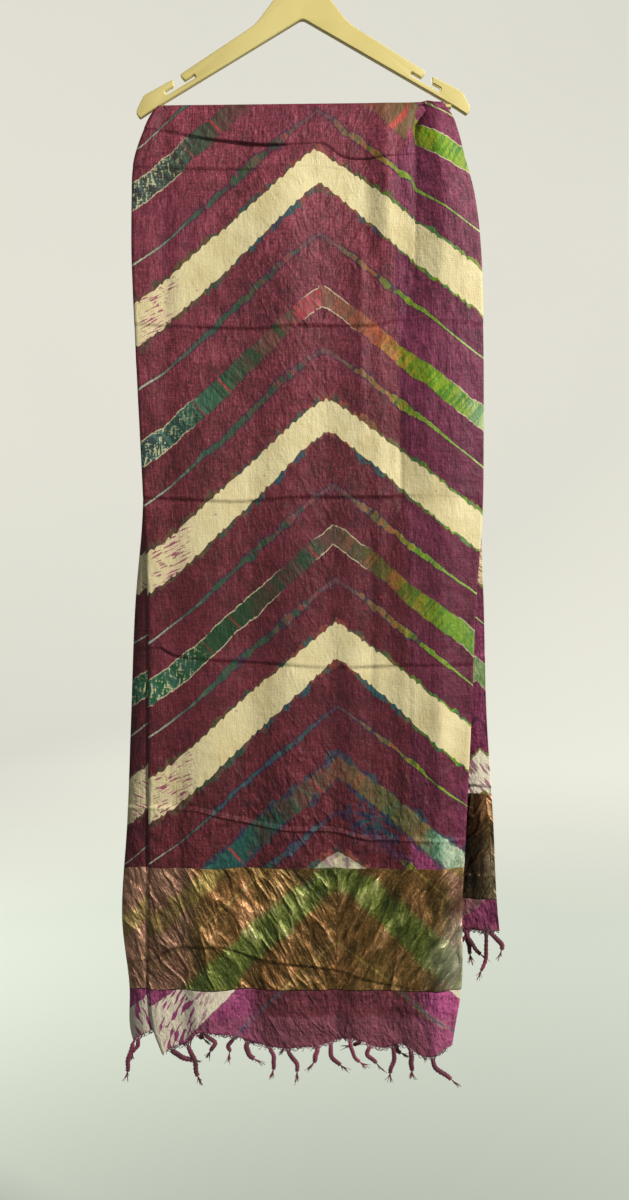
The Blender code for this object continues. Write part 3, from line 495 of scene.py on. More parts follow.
class PlyGrid:
    # Outer ply, fold and under ply as one grid. Columns run from the outer selvage round the fold.

    def __init__(self, fall):
        self.fall = fall
        self.sections = list(zip(*fall["sections"]))
        self.pleat = list(zip(*fall["pleat"]))
        self.bunched = list(zip(*fall["bunched"]))
        outer, under = fall["outerColumns"], fall["underColumns"]
        turn = np.linspace(0, math.pi, cloth["arcColumns"] + 2)[1:-1]
        self.turn = np.concatenate((np.zeros(outer), turn, np.full(under, math.pi)))
        self.onOuter = (1 + np.cos(self.turn)) / 2
        self.outer = self.turn < math.pi / 2 + 0.01
        # the under ply's columns lie closer near its selvage and near the fold, where it shows
        even = np.linspace(0, 1, under)
        gathered = even + 0.14 * np.sin(2 * math.pi * even)
        self.column = np.concatenate((np.linspace(0, 1, outer), np.ones(len(turn)), 1 - gathered))
        hemShare = self.shares(np.full_like(self.turn, fall["outerHem"][0][1]))
        self.hem = np.where(self.outer, smooth(*zip(*fall["outerHem"]), hemShare),
                            smooth(*zip(*fall["underHem"]), hemShare))

    # X of each ply's selvage and of the fold, and the two plies' depths.
    def edges(self, drop):
        selvage, fold, under, outerDepth, underDepth = (
            smooth(self.sections[0], self.sections[k], drop) for k in range(1, 6))
        return np.where(self.outer, selvage, under), fold, outerDepth, underDepth

    # Each column's share of the way from selvage to fold. One column keeps to the pleat, and those on both
    # sides close up to it by a t (1 - t) term.
    def shares(self, drop):
        edge, fold, outerDepth, underDepth = self.edges(drop)
        reach = fold - (outerDepth - underDepth) / 2 - edge
        pleat = (smooth(self.pleat[0], self.pleat[1], drop) - edge) / reach
        at = cloth["pleatColumn"]
        closing = lambda t: t + cloth["pleatCloser"] * t * (1 - t)
        left = pleat * closing(np.clip(self.column / at, 0, 1))
        right = pleat + (1 - pleat) * (1 - closing(1 - np.clip((self.column - at) / (1 - at), 0, 1)))
        return np.where(self.outer, np.where(self.column < at, left, right), self.column)

    # The sum of all the reliefs, of which the under ply takes its share.
    def relief(self, x, drop):
        fall = self.fall
        place, lip, sink = (smooth(self.pleat[0], self.pleat[k], drop) for k in (1, 2, 3))
        both = foldRelief(fall["folds"], x, drop)
        both += lip * np.exp(-((x - place - cloth["lip"][0]) / cloth["lip"][1]) ** 2)
        both -= sink * np.exp(-((x - place - cloth["sink"][0]) / cloth["sink"][1]) ** 2)
        pressed = pressedRelief(fall["pressed"], x, drop) + terraceRelief(fall["terraces"], x, drop)
        pressed += creaseRelief(fall["creases"], x, drop) * ease(drop / 25)
        free = ease(drop / 120)
        outer = crumple(x, drop, fall["seed"]) * (0.2 + 0.8 * free)
        under = crumple(x, drop, fall["seed"] + 20) * 0.5 * free
        share = lambda least: least + (1 - least) * self.onOuter
        return both * share(cloth["underShare"]) + pressed * share(cloth["underPressed"]) \
            + outer * self.onOuter + under * (1 - self.onOuter)

    # Distance from the outer selvage along the weft, and from the bar along the warp.
    def cloth(self, x, drop):
        edge, fold, outerDepth, underDepth = self.edges(drop)
        selvage = smooth(self.sections[0], self.sections[1], drop)
        left, tucked = (smooth(self.bunched[0], self.bunched[k], drop) for k in (1, 2))
        pleat = smooth(self.pleat[0], self.pleat[1], drop)
        foldAt = fold - selvage + left + tucked
        atLeft, atPleat = cloth["tucks"]
        outer = x - selvage + left * ease((x - selvage) / atLeft) + tucked * ease((x - pleat) / atPleat + 0.5)
        under = foldAt + (fold - x) / (fold - edge) * (cloth["width"] - foldAt)
        return np.where(self.turn <= math.pi / 2, outer, under)

    # Across: from the selvage to the fold, then a half circle round it. Forward: the ply's depth and relief.
    # Up: the drop, and a quarter circle over the bar where wrap is below 1.
    def point(self, drop, wrap):
        edge, fold, outerDepth, underDepth = self.edges(drop)
        radius = (outerDepth - underDepth) / 2
        x = edge + (fold - radius - edge) * self.shares(drop) + radius * np.sin(self.turn)
        back, forth, reach, begin, full = cloth["lying"]
        selvage = smooth(self.sections[0], self.sections[1], drop)
        near = np.exp(-(np.maximum(x - selvage, 0) / reach) ** 2) * ease((drop - begin) / (full - begin))
        between = np.where(self.outer, self.onOuter * (1 - back * near), forth * near)
        depth = underDepth + between * (outerDepth - underDepth) + self.relief(x, drop)
        if "curl" in self.fall:
            begin, full, width, inset, forward, sunk = self.fall["curl"]
            low = ease((drop - begin) / (full - begin))
            rolled = ease((x - fold + inset + width) / width) * low
            beside = ease((x - fold + 5 * width) / (3 * width)) * low * (1 - self.onOuter)
            depth = depth - forward * rolled + sunk * beside
        wall, gap = cloth["padWall"], cloth["padGap"]
        height = hang["barHalfHeight"] + gap + wall / 2 + self.onOuter * (wall + gap)
        place, half, rise = cloth["bump"]
        height = height + rise * self.onOuter * np.exp(-((x - place) / half) ** 2)
        angle = wrap * math.pi / 2
        y = self.fall["side"] * np.maximum(depth * np.sin(angle), cloth["seam"] / 2)
        crest = hang["barAxis"] + x * math.tan(hang["tilt"])
        z = np.where(wrap < 1, crest + height * np.cos(angle), hang["dropZero"] - drop)
        atBar, overBar, ahead = cloth["warpStart"]
        along = np.where(wrap < 1, drop + atBar - overBar * (1 - wrap), drop + ahead)
        return np.stack((x, y, z), axis=-1) * mm, np.stack((self.cloth(x, drop), along), axis=-1) * mm

    # Drops of the mesh's rows: they run along the creases and lie closer beside them.
    def rowDrops(self):
        fall = self.fall
        lines = [np.full_like(self.hem, hang["dropZero"] - hang["barAxis"])]
        for _, _, _, points in fall["creases"]:
            lineX, lineDrop, _ = zip(*points)
            about = np.full_like(self.hem, np.mean(lineDrop))
            edge, fold, _, _ = self.edges(about)
            lines.append(smooth(lineX, lineDrop, edge + (fold - edge) * self.shares(about)))
        lines.append(self.hem)
        counts = [crease[2] for crease in fall["creases"]] + [fall["lastRows"]]
        rows = []
        for count, upper, lower in zip(counts, lines, lines[1:]):
            t = np.arange(count) / count
            t = t - cloth["gather"] * np.sin(2 * math.pi * t) / (2 * math.pi)
            rows.append(upper + (lower - upper) * t[:, None])
        return np.concatenate(rows + [self.hem[None]])

    # Rows over the bar, then down the cloth, whose first row follows the bar's tilt.
    def grid(self):
        points, coords = [], []
        for k in range(cloth["wrapRows"]):
            place, where = self.point(np.zeros_like(self.hem), np.full_like(self.hem, k / cloth["wrapRows"]))
            points.append(place)
            coords.append(where)
        for k, drop in enumerate(self.rowDrops()):
            place, where = self.point(drop, np.ones_like(self.hem))
            if k == 0:
                place[:, 2] = (hang["barAxis"] + place[:, 0] / mm * math.tan(hang["tilt"])) * mm
            points.append(place)
            coords.append(where)
        return np.array(points), np.array(coords)


def clothPiece(name, grid, material, node):
    points, coords = grid.grid()
    rows, columns = points.shape[:2]
    quads = quadIndex(rows, columns)
    if grid.fall["side"] > 0:
        quads = quads[:, ::-1]
    made = meshPiece(name, points, quads, material, coords=coords)
    wall = made.modifiers.new("wall", "SOLIDIFY")
    wall.thickness = cloth["thickness"] * mm
    wall.offset = 0.0
    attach(made, "root")
    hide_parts(node)
    print(name, rows, "x", columns)
    return made


dye = {
    "wine": (tone(62, 22, 30), tone(92, 34, 44), tone(112, 46, 58), tone(142, 66, 84)),
    "cream": tone(201, 190, 147),
    "creamWarm": tone(184, 169, 122),
    "copper": (tone(48, 36, 12), tone(88, 68, 32), tone(134, 102, 60), tone(202, 166, 118)),
    "apex": 0.249,                   # from the selvage to the chevrons' points
    "half": 0.462,                   # from the selvage to the fold
    "span": (-0.25, 1.35),           # of the lengthwise coordinate in the table of bands
    "slopes": (0.88, 0.8),           # of a chevron's arms, left and right of its point
    "waver": 0.014,
    "pleat": 0.345,                  # from the selvage to the pleat, past which the dye took less
    "bled": (0.052, 0.949),          # the knot that bled: past the points, and along the warp
}

bandKinds = {"cream": 0, "line": 0.5, "green": 1}

# Each fall's dyes, in metres from the bar down. A band has its start and its width at the chevron's point,
# and its kind.
frontDye = {
    "side": -1,
    "bands": (
        (-0.147, 0.004, "line"), (-0.098, 0.029, "green"), (0.010, 0.005, "line"), (0.0633, 0.045, "cream"),
        (0.1755, 0.004, "line"), (0.2447, 0.0267, "green"), (0.326, 0.004, "line"), (0.3927, 0.042, "cream"),
        (0.508, 0.004, "line"), (0.5607, 0.0267, "green"), (0.632, 0.004, "line"), (0.690, 0.047, "cream"),
        (0.799, 0.004, "line"), (0.8633, 0.032, "green"), (0.937, 0.004, "line"), (0.991, 0.054, "cream"),
        (1.112, 0.004, "line"),
    ),
    "border": (1.014, 1.174),        # where the tissue border begins and ends
    "spared": (0.98, 1.04),          # where cream begins to be left undyed, and is so in full
    "undyed": tone(204, 196, 178),
    "ends": (0.88, 0.9),             # where the ends' magenta comes in past the pleat, and its share
    "endShare": 0.8,
    "lastShare": 1,                  # how far the last stripe has dyes and blots of its own
    "sideShare": 0.55,               # how pale the border grows towards its sides
    "plainShare": 1,                 # how magenta the plain end does
}

backDye = {
    "side": 1,
    "bands": tuple(
        (start + offset, width, kind)
        for start in (-0.106, 0.177, 0.460, 0.743, 1.026)
        for offset, width, kind in ((0, 0.042, "cream"), (0.104, 0.004, "line"), (0.158, 0.027, "green"),
                                    (0.239, 0.004, "line"))),
    "border": (0.920, 1.061),
    "spared": (0.76, 0.84),
    "undyed": tone(226, 219, 200),
    "ends": (0.8, 0.83),
    "endShare": 0.3,
    "lastShare": 0,
    "sideShare": 0.1,
    "plainShare": 0.6,
}


# A constant ramp as a table: between two bands' midpoints it holds the nearer band's start, width and kind.
def bandTable(lengthwise, bands):
    low, high = dye["span"]
    stops = []
    for k, (start, width, kind) in enumerate(bands):
        place = low if k == 0 else (sum(bands[k - 1][:2]) + start) / 2
        level = ((start - low) / (high - low), width * 10, bandKinds[kind], 1)
        stops.append(((place - low) / (high - low), level))
    found = ramp((lengthwise - low) / (high - low), stops, "CONSTANT")
    start, width, kind = (Shade.node("SeparateColor", None, {0: found}, out=k) for k in range(3))
    return start * (high - low) + low, width * 0.1, kind


# Colours of a dyed stripe from the selvage, 0, to the fold, 1, as a place and its red, green and blue. Its
# cells, as wide as the tied pleats were, take one or the other of two rows.
stripeDyes = {
    "green": (
        ((0, 36, 62, 62), (0.12, 16, 58, 48), (0.26, 14, 52, 32), (0.40, 40, 60, 36), (0.48, 96, 52, 48),
         (0.55, 112, 74, 62), (0.63, 104, 70, 50), (0.7, 136, 62, 40), (0.77, 104, 120, 12),
         (0.86, 78, 130, 2), (0.93, 64, 118, 48), (1, 118, 150, 110)),
        ((0, 76, 112, 108), (0.12, 44, 92, 78), (0.26, 40, 80, 52), (0.40, 96, 78, 56), (0.5, 128, 58, 56),
         (0.55, 128, 82, 66), (0.63, 132, 70, 52), (0.7, 160, 78, 48), (0.77, 148, 132, 30),
         (0.86, 116, 150, 20), (0.93, 128, 150, 50), (1, 158, 180, 128)),
    ),
    "deep": (
        ((0, 24, 92, 60), (0.12, 4, 62, 32), (0.24, 0, 46, 16), (0.33, 44, 60, 36), (0.40, 4, 50, 34),
         (0.46, 26, 56, 36), (0.52, 84, 66, 56), (0.6, 68, 64, 40), (0.7, 82, 78, 24), (0.80, 68, 104, 20),
         (0.90, 84, 128, 36), (1, 126, 156, 104)),
    ),
    "teal": (
        ((0, 58, 104, 104), (0.15, 8, 70, 72), (0.3, 12, 74, 66), (0.40, 24, 72, 62), (0.46, 66, 80, 58),
         (0.52, 104, 68, 54), (0.6, 118, 74, 50), (0.7, 52, 78, 48), (0.77, 130, 98, 62),
         (0.82, 60, 122, 96), (0.88, 160, 184, 156), (1, 170, 190, 160)),
        ((0, 90, 128, 118), (0.15, 20, 92, 90), (0.3, 26, 64, 54), (0.40, 50, 70, 50), (0.46, 90, 76, 58),
         (0.52, 112, 62, 52), (0.6, 92, 78, 52), (0.7, 72, 84, 46), (0.77, 92, 84, 60),
         (0.82, 104, 150, 124), (0.88, 186, 198, 176), (1, 176, 190, 150)),
    ),
    "line": (
        ((0, 150, 158, 136), (0.1, 96, 120, 98), (0.20, 26, 68, 44), (0.38, 24, 60, 38), (0.46, 44, 62, 50),
         (0.54, 92, 72, 58), (0.62, 84, 76, 48), (0.7, 86, 88, 40), (0.78, 80, 124, 20),
         (0.90, 130, 156, 60), (1, 170, 180, 120)),
        ((0, 186, 180, 150), (0.1, 60, 84, 66), (0.20, 40, 64, 50), (0.34, 58, 66, 42), (0.44, 110, 50, 52),
         (0.54, 120, 76, 64), (0.62, 108, 82, 56), (0.7, 134, 80, 44), (0.78, 120, 134, 30),
         (0.90, 104, 140, 40), (1, 140, 150, 90)),
    ),
    "rim": (
        ((0, 70, 50, 40), (0.16, 44, 62, 40), (0.34, 26, 66, 60), (0.46, 40, 72, 66), (0.56, 74, 62, 48),
         (0.66, 58, 78, 40), (0.78, 74, 112, 22), (0.90, 108, 150, 28), (1, 104, 130, 50)),
        ((0, 96, 60, 50), (0.16, 84, 70, 42), (0.34, 86, 56, 46), (0.46, 104, 52, 46), (0.56, 132, 64, 54),
         (0.66, 120, 82, 46), (0.78, 44, 92, 48), (0.90, 60, 120, 60), (1, 132, 132, 60)),
    ),
}


# A ramp from rows of a place and its sRGB levels.
def tones(value, *rows):
    return ramp(value, [(place, tone(*levels)) for place, *levels in rows])


def dyed(kind, share, runs):
    return mix(share, *(tones(runs, *rows) for rows in stripeDyes[kind]))


# Silk tied and dyed in chevrons: the place along the warp, less the chevron's fall away from its point,
# tells the band. Each band's mask is how far inside the band a place is, frayed by noise, and lets its dyes
# over the ground. The tissue border and the plain end go over them.
def silkMaterial(name, fall):
    made, shader = newMaterial(name, {"Roughness": 0.5, "Specular IOR Level": 0.22})
    front = fall["side"] < 0
    place = Shade.node("UVMap", {"uv_map": "cloth"})
    across, along = (Shade.node("SeparateXYZ", None, {0: place}, out=k) for k in (0, 1))
    underPly = across - dye["half"]
    inward = dye["half"] - abs(underPly)                     # from the nearer selvage
    runs = inward / dye["half"]
    pastPoint = inward - dye["apex"]                         # from the chevrons' points, towards the fold
    sideways, foldward = abs(pastPoint), pastPoint.step(-0.001, 0.001)
    left, right = (0 - pastPoint).max(0), pastPoint.max(0)

    # the chevron's fall away from its point, left and right, then a slow waver
    soft = lambda d: 1 - (d * -75).maths("EXPONENT")
    leftSlope, rightSlope = dye["slopes"]
    sunk = left * leftSlope - 0.0045 * soft(left) - 3 * (left - 0.2).max(0) ** 2
    sunk = sunk + right * rightSlope - 0.004 * soft(right)
    waver = field(across * 11, along * 4) - 0.5
    lengthwise = (along - sunk if front else along + sunk) + waver * dye["waver"]
    start, width, kind = bandTable(lengthwise, fall["bands"])
    isCream, isGreen = kind.fade(0.2, 0.3), kind.step(0.7, 0.8)
    isLine = (1 - isCream) * (1 - isGreen)
    topmost, second, lowest = start.fade(-0.09, -0.05), start.step(0.4, 0.5), start.step(0.95, 0.96)
    lastStripe = start.step(0.7, 0.85) * fall["lastShare"]
    width = width * (1 + 0.28 * (sideways / 0.13).min(1))
    if front:
        # the first stripe was tied wider between the point and the pleat
        width = width + isGreen * topmost * pastPoint.step(0.01, 0.02) * inward.fade(0.366, 0.372) * 0.026
    offCentre = lengthwise - start - width * 0.5
    inside = width * 0.5 - abs(offCentre)
    whichEdge = (offCentre * 2000).min(1).max(-1)

    # noises that several of the dyes share; slanted runs along a band, so its cells lie square to it
    slanted = inward - offCentre * (foldward * 2 - 1) * (0.5 * fall["side"])
    cells = field(slanted * 110, offCentre * 9, start * 31, 2, 0.6)
    strands = field(slanted * 300, offCentre * 16, start * 13, 1)
    beat = field(across * 46, whichEdge * 3, start * 17, 1)
    blobs = field(across * 62, whichEdge * 1.3, start * 23, 2, 0.6)
    frayed = field(across * 300, along * 300) - 0.5
    patches = field(across * 60, along * 60, 3)
    grain = field(across * 330, along * 250, 0, 3, 0.75)
    warp, weft = field(across * 560, along * 34, 0, 2, 0.6), field(across * 34, along * 620, 0, 2, 0.6)
    streaks = warp * 0.5 + grain * 0.5
    eitherCell = cells.step(0.4, 0.6)

    # ground: warp streaks, slubs across, the uneven take-up of the dye, and painted shade towards the foot
    mottle = field(across * 52, along * 46, 1, 4, 0.65)
    pools = field(across * 9, along * 6, 2)
    depth = (warp * 0.28 + weft * 0.16 + mottle * 0.26 + pools * 0.14 + grain * 0.34 - 0.59) * 4.8 + 0.5
    inDepth = lambda low, high: tones(depth, (0.1, *low), (0.9, *high))
    ground = ramp(depth, tuple(zip((0.12, 0.38, 0.60, 0.92), dye["wine"])))
    ground = mix(field(across * 4, along * 3, 6, 1).step(0.35, 0.65) * 0.3, ground, tone(96, 32, 58))
    # darker and redder towards the foot: the darkening is painted shade of the light falling off downwards
    ground = mix(along.step(0.05, 0.65), ground, multiply(ground, tone(194, 174, 170)))
    pleatAt = dye["pleat"] + 0.036 * along.fade(0.02, 0.11) if front else dye["pleat"]
    pastPleat = (inward - pleatAt).step(-0.003, 0.005)
    tucked = pastPleat * (1 - along.step(0.3, 0.7) * 0.45)
    ground = mix(tucked * 0.5, ground, inDepth((54, 14, 40), (112, 44, 84)))
    toEnd = along.step(0.84, 0.94) * (inward + (pools - 0.5) * 0.03).step(0.40, 0.44) * 0.7 \
        + inward.step(0.342, 0.350) * lengthwise.step(*fall["ends"])
    ground = mix(toEnd.min(1) * fall["endShare"], ground, inDepth((88, 28, 60), (176, 80, 130)))

    # cream: scalloped where it was tied, with dye drawn in from the selvage
    scallop = abs((across * 245 + beat * 9 + whichEdge).maths("SINE")) - 0.62
    domed = lowest * 0.15 * sideways * (1 - sideways / 0.06).max(0)
    ragged = inside + scallop * (0.0016 + 0.0036 * beat) * (1 - 0.6 * lowest) + frayed * 0.0022 + domed
    creamMask = isCream * ragged.step(-0.0004, 0.0006)
    stain = field(across * 24, along * 18, 5, 4, 0.6)
    cream = mix(stain.step(0.38, 0.7) * 0.75, dye["cream"], dye["creamWarm"])
    cream = mix(streaks.step(0.5, 0.72) * 0.3, cream, tone(172, 160, 118))
    low = along.step(*fall["spared"])
    dash = field((across * 0.9 - along * 0.43) * 52, (along * 0.9 + across * 0.43) * 400, 0, 1) * (1 - low) \
        + field((across * 0.83 + along * 0.56) * 250, (along * 0.83 - across * 0.56) * 42, 0, 1) * low
    dashMask = dash.step(0.560 - 0.030 * low, 0.590 - 0.020 * low) * inward.step(0.004, 0.012)
    dashMask = dashMask * inward.fade(0.050, 0.066 + 0.04 * low) * (patches + low * 0.2).step(0.38, 0.44)
    if not front:
        dashMask = dashMask.max(dash.step(0.52, 0.56) * inward.step(0.425, 0.435) * 0.8)
    pinkish = patches.step(0.4, 0.6) * inward.fade(0.045, 0.07) * inward.step(0.004, 0.02)
    cream = mix(pinkish * 0.14, cream, tone(186, 120, 150))
    cream = mix(dashMask * 0.88, cream, tone(126, 34, 84))
    cream = mix(low * 0.8, cream, mix(dashMask, fall["undyed"], tone(134, 52, 104)))
    knot = lowest * close(pastPoint, 0.03, 0.05) * patches.step(0.44, 0.56)
    cream = mix(knot * 0.7, cream, mix(eitherCell, tone(116, 150, 112), tone(120, 70, 104)))
    spots = field(across * 90, along * 90, 12, 1).step(0.76, 0.79)
    cream = mix(spots * 0.5, cream, tone(140, 92, 118))

    rimWidth = 0.0022 + (0.040 - 0.022 * runs.step(0.66, 0.8)) * (blobs - 0.42).max(0) + 0.0016 * cells
    rim = isCream * (ragged + rimWidth + frayed * 0.001).step(-0.0003, 0.0006) * (1 - creamMask)
    rimColour = dyed("rim", cells.step(0.47, 0.53), runs)
    rimColour = mix((grain * 0.6 + patches * 0.4).step(0.48, 0.6) * 0.55, rimColour, tone(38, 24, 38))
    blue = (blobs + frayed * 0.3).step(0.48, 0.53) * whichEdge.step(-0.2, 0.2)
    blue = blue * close(sideways - 0.06, 0.015, 0.04)
    rimColour = mix(blue * 0.85, rimColour, mix(eitherCell, tone(16, 74, 84), tone(22, 52, 66)))

    # stripes of many dyes
    mixing = (cells * 0.7 + strands * 0.3 + frayed * 0.12).step(0.47, 0.53)
    strayed = runs + (patches - 0.5) * 0.12 - 0.08 * topmost * runs.step(0.8, 0.88)
    many = dyed("green", mixing, strayed)
    deepShare = 1 - 0.5 * mixing * runs.fade(0.1, 0.2) - 0.5 * mixing * runs.step(0.5, 0.6)
    many = mix(second * deepShare, many, tones(strayed, *stripeDyes["deep"][0]))
    many = mix(lastStripe * 0.85, many, dyed("teal", mixing, strayed))
    beforePleat = runs.step(0.42, 0.52) * (1 - pastPleat)
    many = mix(topmost * (0.35 + 0.5 * beforePleat) * runs.fade(0.84, 0.9), many,
               mix(beforePleat, dye["wine"][0], tone(92, 60, 46)))
    marks = field(across * 330, along * 70, 4, 1) * 0.6 + field(across * 130, along * 330, 9, 1) * 0.4
    many = mix(marks.step(0.53, 0.59) * inward.fade(0.015, 0.10) * 0.8, many, tone(196, 196, 150))
    red = field(slanted * 170, offCentre * 7, 15, 0).step(0.66, 0.69) * runs.step(0.12, 0.25)
    many = mix(red * runs.fade(0.66, 0.74) * 0.75, many, tone(160, 44, 54))
    streak = topmost * close(slanted - 0.362, 0.002, 0.005) * patches.step(0.3, 0.5)
    many = mix(streak * 0.8, many, tone(176, 62, 56))
    fan = close(runs - 0.497, 0.036, 0.046) * (1 - second) * strands.step(0.44, 0.5)
    many = mix(fan * 0.85, many, mix(beat.step(0.4, 0.6), tone(176, 40, 66), tone(186, 84, 88)))
    many = mix(streaks.step(0.42, 0.66) * 0.6, many, multiply(many, tone(138, 150, 138)))
    fullDye = runs.step(0.14, 0.2) * runs.fade(0.3, 0.36) * second * (1 - lastStripe)
    many = mix(fullDye * 0.6, many, tone(2, 50, 24))
    manyInside = inside + frayed * 0.0024 + (beat - 0.5) * 0.010 + scallop * 0.0014
    dimmed = 1 - 0.5 * close(runs - 0.42, 0.05, 0.16) * cells.step(0.38, 0.5) \
        - 0.35 * topmost * (runs.step(0.2, 0.3) - runs.step(0.68, 0.74))
    manyMask = isGreen * manyInside.step(-0.0008, 0.0014) * dimmed
    outline = isGreen * close(manyInside - 0.0002, 0.0005, 0.0013)
    paleUpTo = 0.12 + 0.22 * second                          # the second stripe's undyed edge is longer
    pale = runs.fade(paleUpTo, paleUpTo + 0.06) + close(runs - 0.56, 0.05, 0.09) + runs.step(0.86, 0.92)
    hairline = outline * (1 - lastStripe) * patches.step(0.34, 0.42) * pale

    # thin lines: a core that swells and breaks, in a blurred stain
    swollen = runs.step(0.08, 0.26) * runs.fade(0.74, 0.92) * (1 - 0.6 * close(pastPoint, 0.012, 0.05))
    core = 0.0008 + 0.0012 * beat + frayed * 0.0022 + swollen * (0.0012 + (blobs - 0.40).max(0) * 0.026)
    core = core * (1 - 0.35 * start.step(0.7, 0.75) * start.fade(0.88, 0.9))
    lineMask = isLine * (abs(offCentre) - core).fade(-0.0004, 0.0005)
    whole = 0.92 - 0.84 * swollen                            # how much is left of a line where it breaks
    lineMask = lineMask * (whole + (1 - whole) * (cells + beat * 0.2 - 0.06).step(0.41, 0.46))
    lineMask = lineMask * (1 - 0.55 * close(pastPoint, 0.008, 0.04))
    lineMask = lineMask * (1 - start.step(0.90, 0.92) * pastPoint.step(-0.02, 0) * along.fade(1, 1.01))
    haloWidth = core + 0.0012 + 0.0030 * patches * swollen
    haloMask = isLine * (abs(offCentre) - haloWidth).fade(-0.0006, 0.0009)
    lines = dyed("line", (cells * 0.8 + frayed * 0.3 + 0.1).step(0.47, 0.53), runs)
    lastLine = start.step(0.7, 0.75) * runs.fade(0.5, 0.56) * along.fade(1, 1.02) * runs.step(0.1, 0.25)
    lines = mix(lastLine * 0.85, lines, mix(eitherCell, tone(22, 78, 66), tone(40, 62, 84)))

    colour = mix(haloMask * (0.5 + 0.3 * patches.step(0.4, 0.6)), ground, tone(44, 22, 50))
    if front:
        # dye that bled out from one knot of the tying, in rays
        off, down = pastPoint - dye["bled"][0], along - dye["bled"][1]
        far = (off * off + down * down).maths("SQRT")
        rays = field(down.maths("ARCTAN2", off) * 2.6, far * 42, 33, 3, 0.65)
        bled = (rays + (0.03 - far) * 3).step(0.5, 0.56) * far.fade(0.034, 0.052) * across.fade(0.4, 0.41)
        bled = bled * (rays + frayed * 0.3).step(0.4, 0.5)
        colour = mix(bled * 0.88, colour, mix(patches.step(0.42, 0.58), tone(18, 26, 54), tone(18, 56, 62)))
    colour = mix(lineMask * 0.88, colour, lines)
    colour = mix(manyMask * 0.94, colour, many)
    blots = 0.0002 + 0.040 * (blobs - 0.44).max(0) + 0.010 * (patches - 0.5)
    blotted = isGreen * lastStripe * close(manyInside + 0.0016, blots, blots + 0.0012)
    colour = mix(outline * (1 - lastStripe) * patches.step(0.42, 0.52) * 0.6, colour, tone(50, 24, 50))
    colour = mix(blotted * 0.7, colour, mix(cells.step(0.45, 0.55), tone(26, 34, 62), tone(22, 58, 66)))
    colour = mix(hairline * 0.75, colour, tone(182, 174, 140))
    colour = mix(rim * 0.86, colour, rimColour)
    colour = mix(creamMask, colour, cream)

    # the tissue border near the end, where the dyes sit dull on copper threads
    borderTop, borderFoot = fall["border"]
    edge = along + (field(across * 14, 0, 8) - 0.5) * 0.007 + frayed * 0.001
    belowTop, belowFoot = (edge.step(at - 0.0006, at + 0.0006) for at in fall["border"])
    inBorder = belowTop * (1 - belowFoot)
    hand = foldward * 9 + underPly.step(-0.001, 0.001) * 23
    bend = (field(across * 13, along * 13, 19, 1) - 0.5) * 0.022
    over, down = sideways * 0.88 + along * 0.47 + bend, along * 0.88 - sideways * 0.47
    rumpled = field(over * 48, down * 13, hand, 3, 0.55)
    glint = field(over * 190, down * 44, hand + 3, 3, 0.65)
    ridges = (1 - abs(field(over * 34, down * 10, hand + 5) - 0.5) * 14).max(0)
    # painted highlights along the crumple's ridges and glints, and painted shade between them, over the
    # copper threads' own uneven colour; the copper, lime, straw and mauve tones below all follow it
    paintedShine = (rumpled * 0.5 + glint * 0.3 + grain * 0.3 + (pools - 0.5) * 0.4 - 0.55) * 2 + 0.42 + ridges * 0.2
    copper = ramp(paintedShine, tuple(zip((0.25, 0.45, 0.65, 0.85), dye["copper"])))
    copper = mix(pools.step(0.4, 0.62) * 0.5, copper, multiply(copper, tone(236, 196, 206)))
    blurred = inside + (rumpled - 0.5) * 0.03 + (patches - 0.5) * 0.012
    took = (isCream * blurred.step(-0.002, 0.013) * 0.85 + isGreen * blurred.step(-0.001, 0.010) * 0.7
            + isLine * (inside + frayed * 0.004).step(-0.001, 0.002) * 0.55)
    lime = tones(paintedShine, (0.25, 36, 48, 12), (0.48, 68, 84, 26), (0.66, 114, 130, 62), (0.88, 186, 190, 130))
    straw = tones(paintedShine, (0.25, 70, 60, 22), (0.48, 126, 108, 50), (0.8, 190, 172, 104))
    copper = mix(took, copper, mix(isCream, straw, lime))
    mauve = inward.fade(0.04, 0.07) + (inward + (rumpled - 0.5) * 0.03).step(0.385, 0.405)
    worn = tones(paintedShine, (0.2, 92, 58, 48), (0.85, 190, 146, 130))
    copper = mix(mauve * (1 - took) * fall["sideShare"], copper, worn)
    paler = (inward + (rumpled - 0.5) * 0.05).step(0.36, 0.41) * (edge - borderTop).step(0.05, 0.1)
    paler = paler * (0.4 + 0.6 * rumpled.step(0.4, 0.6))
    copper = mix(paler * (fall["sideShare"] + 0.15), copper, tone(186, 182, 158))
    if not front:
        # painted shade: the under ply's copper is darkened inside the rolled edge, where the light does not
        # reach
        copper = mix(underPly.step(0.002, 0.012) * 0.9, copper, multiply(copper, tone(128, 108, 84)))
        copper = mix(underPly.step(0.012, 0.030) * 0.9, copper, multiply(copper, tone(110, 100, 90)))
    colour = mix(inBorder, colour, copper)

    # the plain end below it
    plainEnd = belowFoot * (1 - creamMask)
    teal = plainEnd * isLine * (abs(offCentre) - 0.0008 - 0.001 * beat).fade(-0.0006, 0.0006)
    sides = (sideways + (pools - 0.5) * 0.03).step(0.1, 0.13) * fall["plainShare"]
    magenta = mix(sides, inDepth((58, 22, 32), (114, 54, 64)), inDepth((104, 36, 76), (184, 90, 138)))
    hemBand = (edge + (pools - 0.5) * 0.01).step(borderFoot + 0.030, borderFoot + 0.040)
    magenta = mix(hemBand * 0.5, magenta, inDepth((96, 52, 62), (152, 92, 108)))
    colour = mix(plainEnd * 0.75, colour, magenta)
    colour = mix(teal * (0.35 + 0.5 * cells.step(0.45, 0.55)), colour, tone(40, 78, 104))

